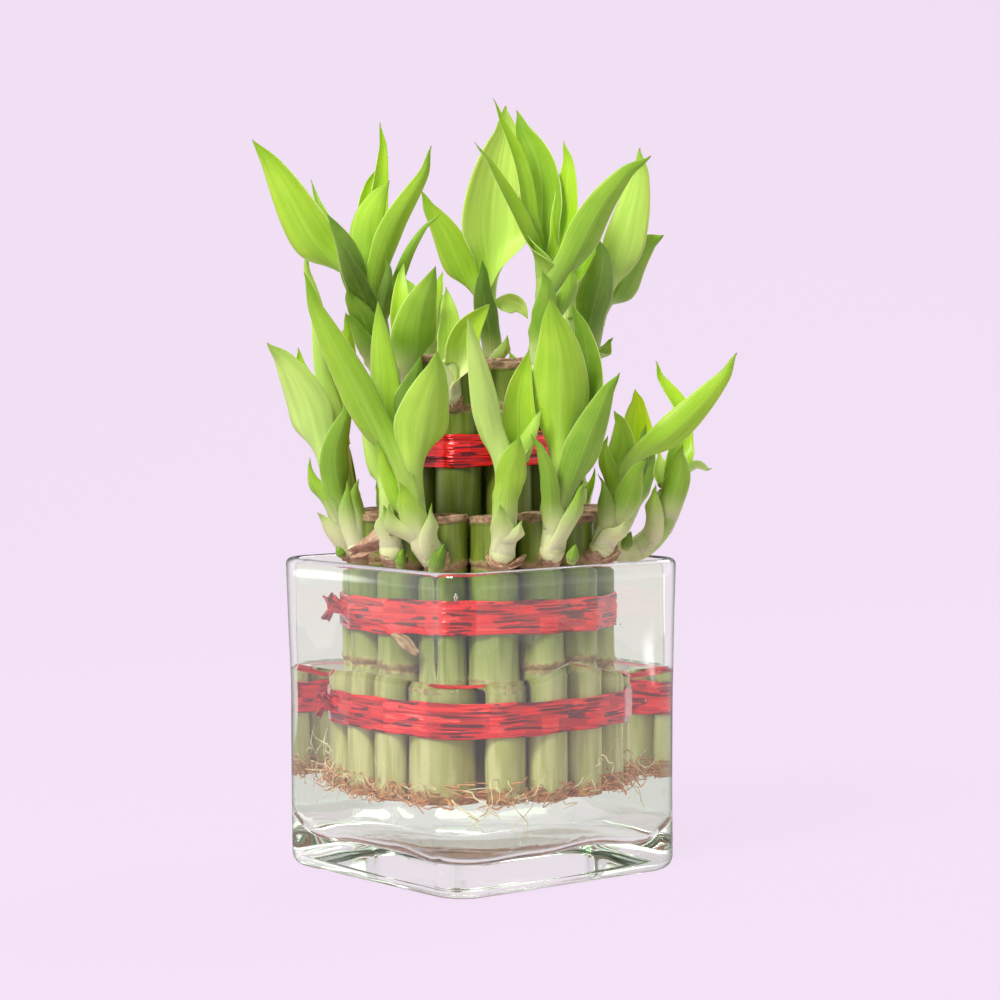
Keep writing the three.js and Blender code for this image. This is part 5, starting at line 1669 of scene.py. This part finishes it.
def build_sheet():
    """A sheet from in front of the camera, under the vase, and up behind it in a wide curve."""
    profile = [(y, 0.0) for y in (-SHEET_REACH, -2 * SHEET_BEND, -SHEET_BEND, 0.0, SHEET_BEND)]
    for share in np.linspace(0.06, 1, BEND_ROWS):
        angle = share * math.pi / 2
        profile.append((SHEET_BEND * (1 + math.sin(angle)), SHEET_BEND * (1 - math.cos(angle))))
    profile.append((2 * SHEET_BEND, SHEET_TOP))
    columns = np.linspace(-SHEET_REACH, SHEET_REACH, SHEET_COLUMNS)
    vertices = [(x, y, z - SHEET_DROP) for y, z in profile for x in columns]
    wide = len(columns)
    faces = [(r * wide + c, r * wide + c + 1, (r + 1) * wide + c + 1, (r + 1) * wide + c)
             for r in range(len(profile) - 1) for c in range(wide - 1)]
    mesh = bpy.data.meshes.new("lilac_sheet")
    mesh.from_pydata(plant_to_frame(vertices).tolist(), [], faces)
    mesh.materials.append(stage_finish())
    mesh.polygons.foreach_set("use_smooth", [True] * len(faces))
    sheet = bpy.data.objects.new("lilac_sheet", mesh)
    bpy.context.scene.collection.objects.link(sheet)
    return sheet


sheet = build_sheet()
print("sheet faces:", len(sheet.data.polygons))

# %% [markdown]
# ## Light
# The light is soft: a bright sky from all round, one large panel from the upper left and a weaker
# one from behind on the right, which lights the leaves through. Two small cards beside the vase
# give its walls their highlights, and two wide ones fill its sides with white. Cards are how glass
# is lit in a studio: it shows what stands round it, so the cards matter more to it than lamps.
# Light that has been bent by the glass a few times finds a brighter sky, or the thick corners would
# look dull.

# %% Light
SKY_COLOUR = (0.95, 1.0, 0.93, 1.0)
SKY_STRENGTH = 0.42
SKY_IN_GLASS = 0.7
FEW_TURNS = 2.5


def add_panel(name, place, aim, size, power):
    """A square soft light at a place, in the viewer's millimetres, turned towards another."""
    light = bpy.data.lights.new(name, "AREA")
    light.size = size
    light.energy = power
    panel = bpy.data.objects.new(name, light)
    start, end = (Vector(p) for p in plant_to_frame([place, aim]))
    panel.location = start
    panel.rotation_euler = (end - start).to_track_quat("-Z", "Y").to_euler()
    bpy.context.scene.collection.objects.link(panel)
    return panel


def add_card(name, place, wide, tall, power):
    """A card that fades towards its edge and shows only in gloss and through glass."""
    card = add_panel(name, place, (0, 0, place[2]), wide, power)
    card.data.shape = "RECTANGLE"
    card.data.size_y = tall
    card.data.use_nodes = True
    tree = card.data.node_tree
    spot = add_node(tree, "NewGeometry").outputs["Parametric"]
    reach = add_node(tree, "VectorMath", {"operation": "DISTANCE"}, i0=spot, i1=(0.5, 0.5, 0.0))
    glow = next(n for n in tree.nodes if n.type == "EMISSION")
    tree.links.new(remap(tree, reach.outputs["Value"], 0.5, 0.15), glow.inputs["Strength"])
    card.visible_camera = False
    card.visible_diffuse = False
    return card


def build_sky():
    """A pale sky from all round, brighter for light that the glass has bent a few times."""
    world = bpy.data.worlds.new("soft_sky")
    world.use_nodes = True
    tree = world.node_tree
    sky = tree.nodes["Background"]
    sky.inputs["Color"].default_value = SKY_COLOUR
    rays = add_node(tree, "LightPath")
    bent = maths(tree, "GREATER_THAN", rays.outputs["Ray Depth"], FEW_TURNS)
    strength = remap(tree, bent, 0.0, 1.0, SKY_STRENGTH, SKY_IN_GLASS)
    tree.links.new(strength, sky.inputs["Strength"])
    bpy.context.scene.world = world
    return world


key = add_panel("key_panel", (-700, -900, 1200), (0, 0, 130), 0.5, 29.0)
back = add_panel("back_panel", (700, 700, 1100), (0, 0, 150), 0.9, 11.0)
right_card = add_card("right_card", (439, -76, 22), 0.026, 0.036, 0.018)
left_card = add_card("left_card", (-421, 95, 74), 0.07, 0.044, 0.06)
right_card.visible_transmission = False
left_card.visible_transmission = False
right_fill = add_card("right_fill", (1000, 0, 150), 1.4, 1.1, 4.0)
left_fill = add_card("left_fill", (-1000, 0, 150), 1.4, 1.1, 4.0)
sky_world = build_sky()
bpy.context.scene.view_settings.view_transform = "Standard"
print("panels:", key.name, back.name, "under", sky_world.name)
print("cards:", right_card.name, left_card.name, right_fill.name, left_fill.name)

# %% [markdown]
# ## Camera
# The camera stands where the viewer does, a metre away with a long lens, and looks slightly down.
# Its place, tilt and lens were fitted to the rim, the base and the corners of the vase, because
# straight edges of a known shape fix a camera best.

# %% Camera
CAMERA_PLACE = np.array([6.89, -1026.0, 184.7])
CAMERA_PITCH = math.radians(3.43)
CAMERA_ROLL = math.radians(-0.33)
LENS = 110.8
SENSOR_WIDTH = 36.0


def aim_camera():
    """A camera at the viewer's place, looking slightly down."""
    right = np.array([1.0, 0.0, 0.0])
    ahead = np.array([0.0, math.cos(CAMERA_PITCH), -math.sin(CAMERA_PITCH)])
    up = np.cross(right, ahead)
    side = right * math.cos(CAMERA_ROLL) + up * math.sin(CAMERA_ROLL)
    top = up * math.cos(CAMERA_ROLL) - right * math.sin(CAMERA_ROLL)
    axes = plant_to_frame(np.array([side, top, -ahead]) / MM)
    place = plant_to_frame([CAMERA_PLACE])[0]
    camera = bpy.data.objects.new("viewer", bpy.data.cameras.new("viewer"))
    camera.data.lens = LENS
    camera.data.sensor_width = SENSOR_WIDTH
    camera.data.clip_end = 20.0
    camera.matrix_world = Matrix([[*axes[:, row], place[row]] for row in range(3)] + [[0, 0, 0, 1]])
    bpy.context.scene.collection.objects.link(camera)
    bpy.context.scene.camera = camera
    return camera


camera = aim_camera()
print("camera at", [round(v, 3) for v in camera.location])
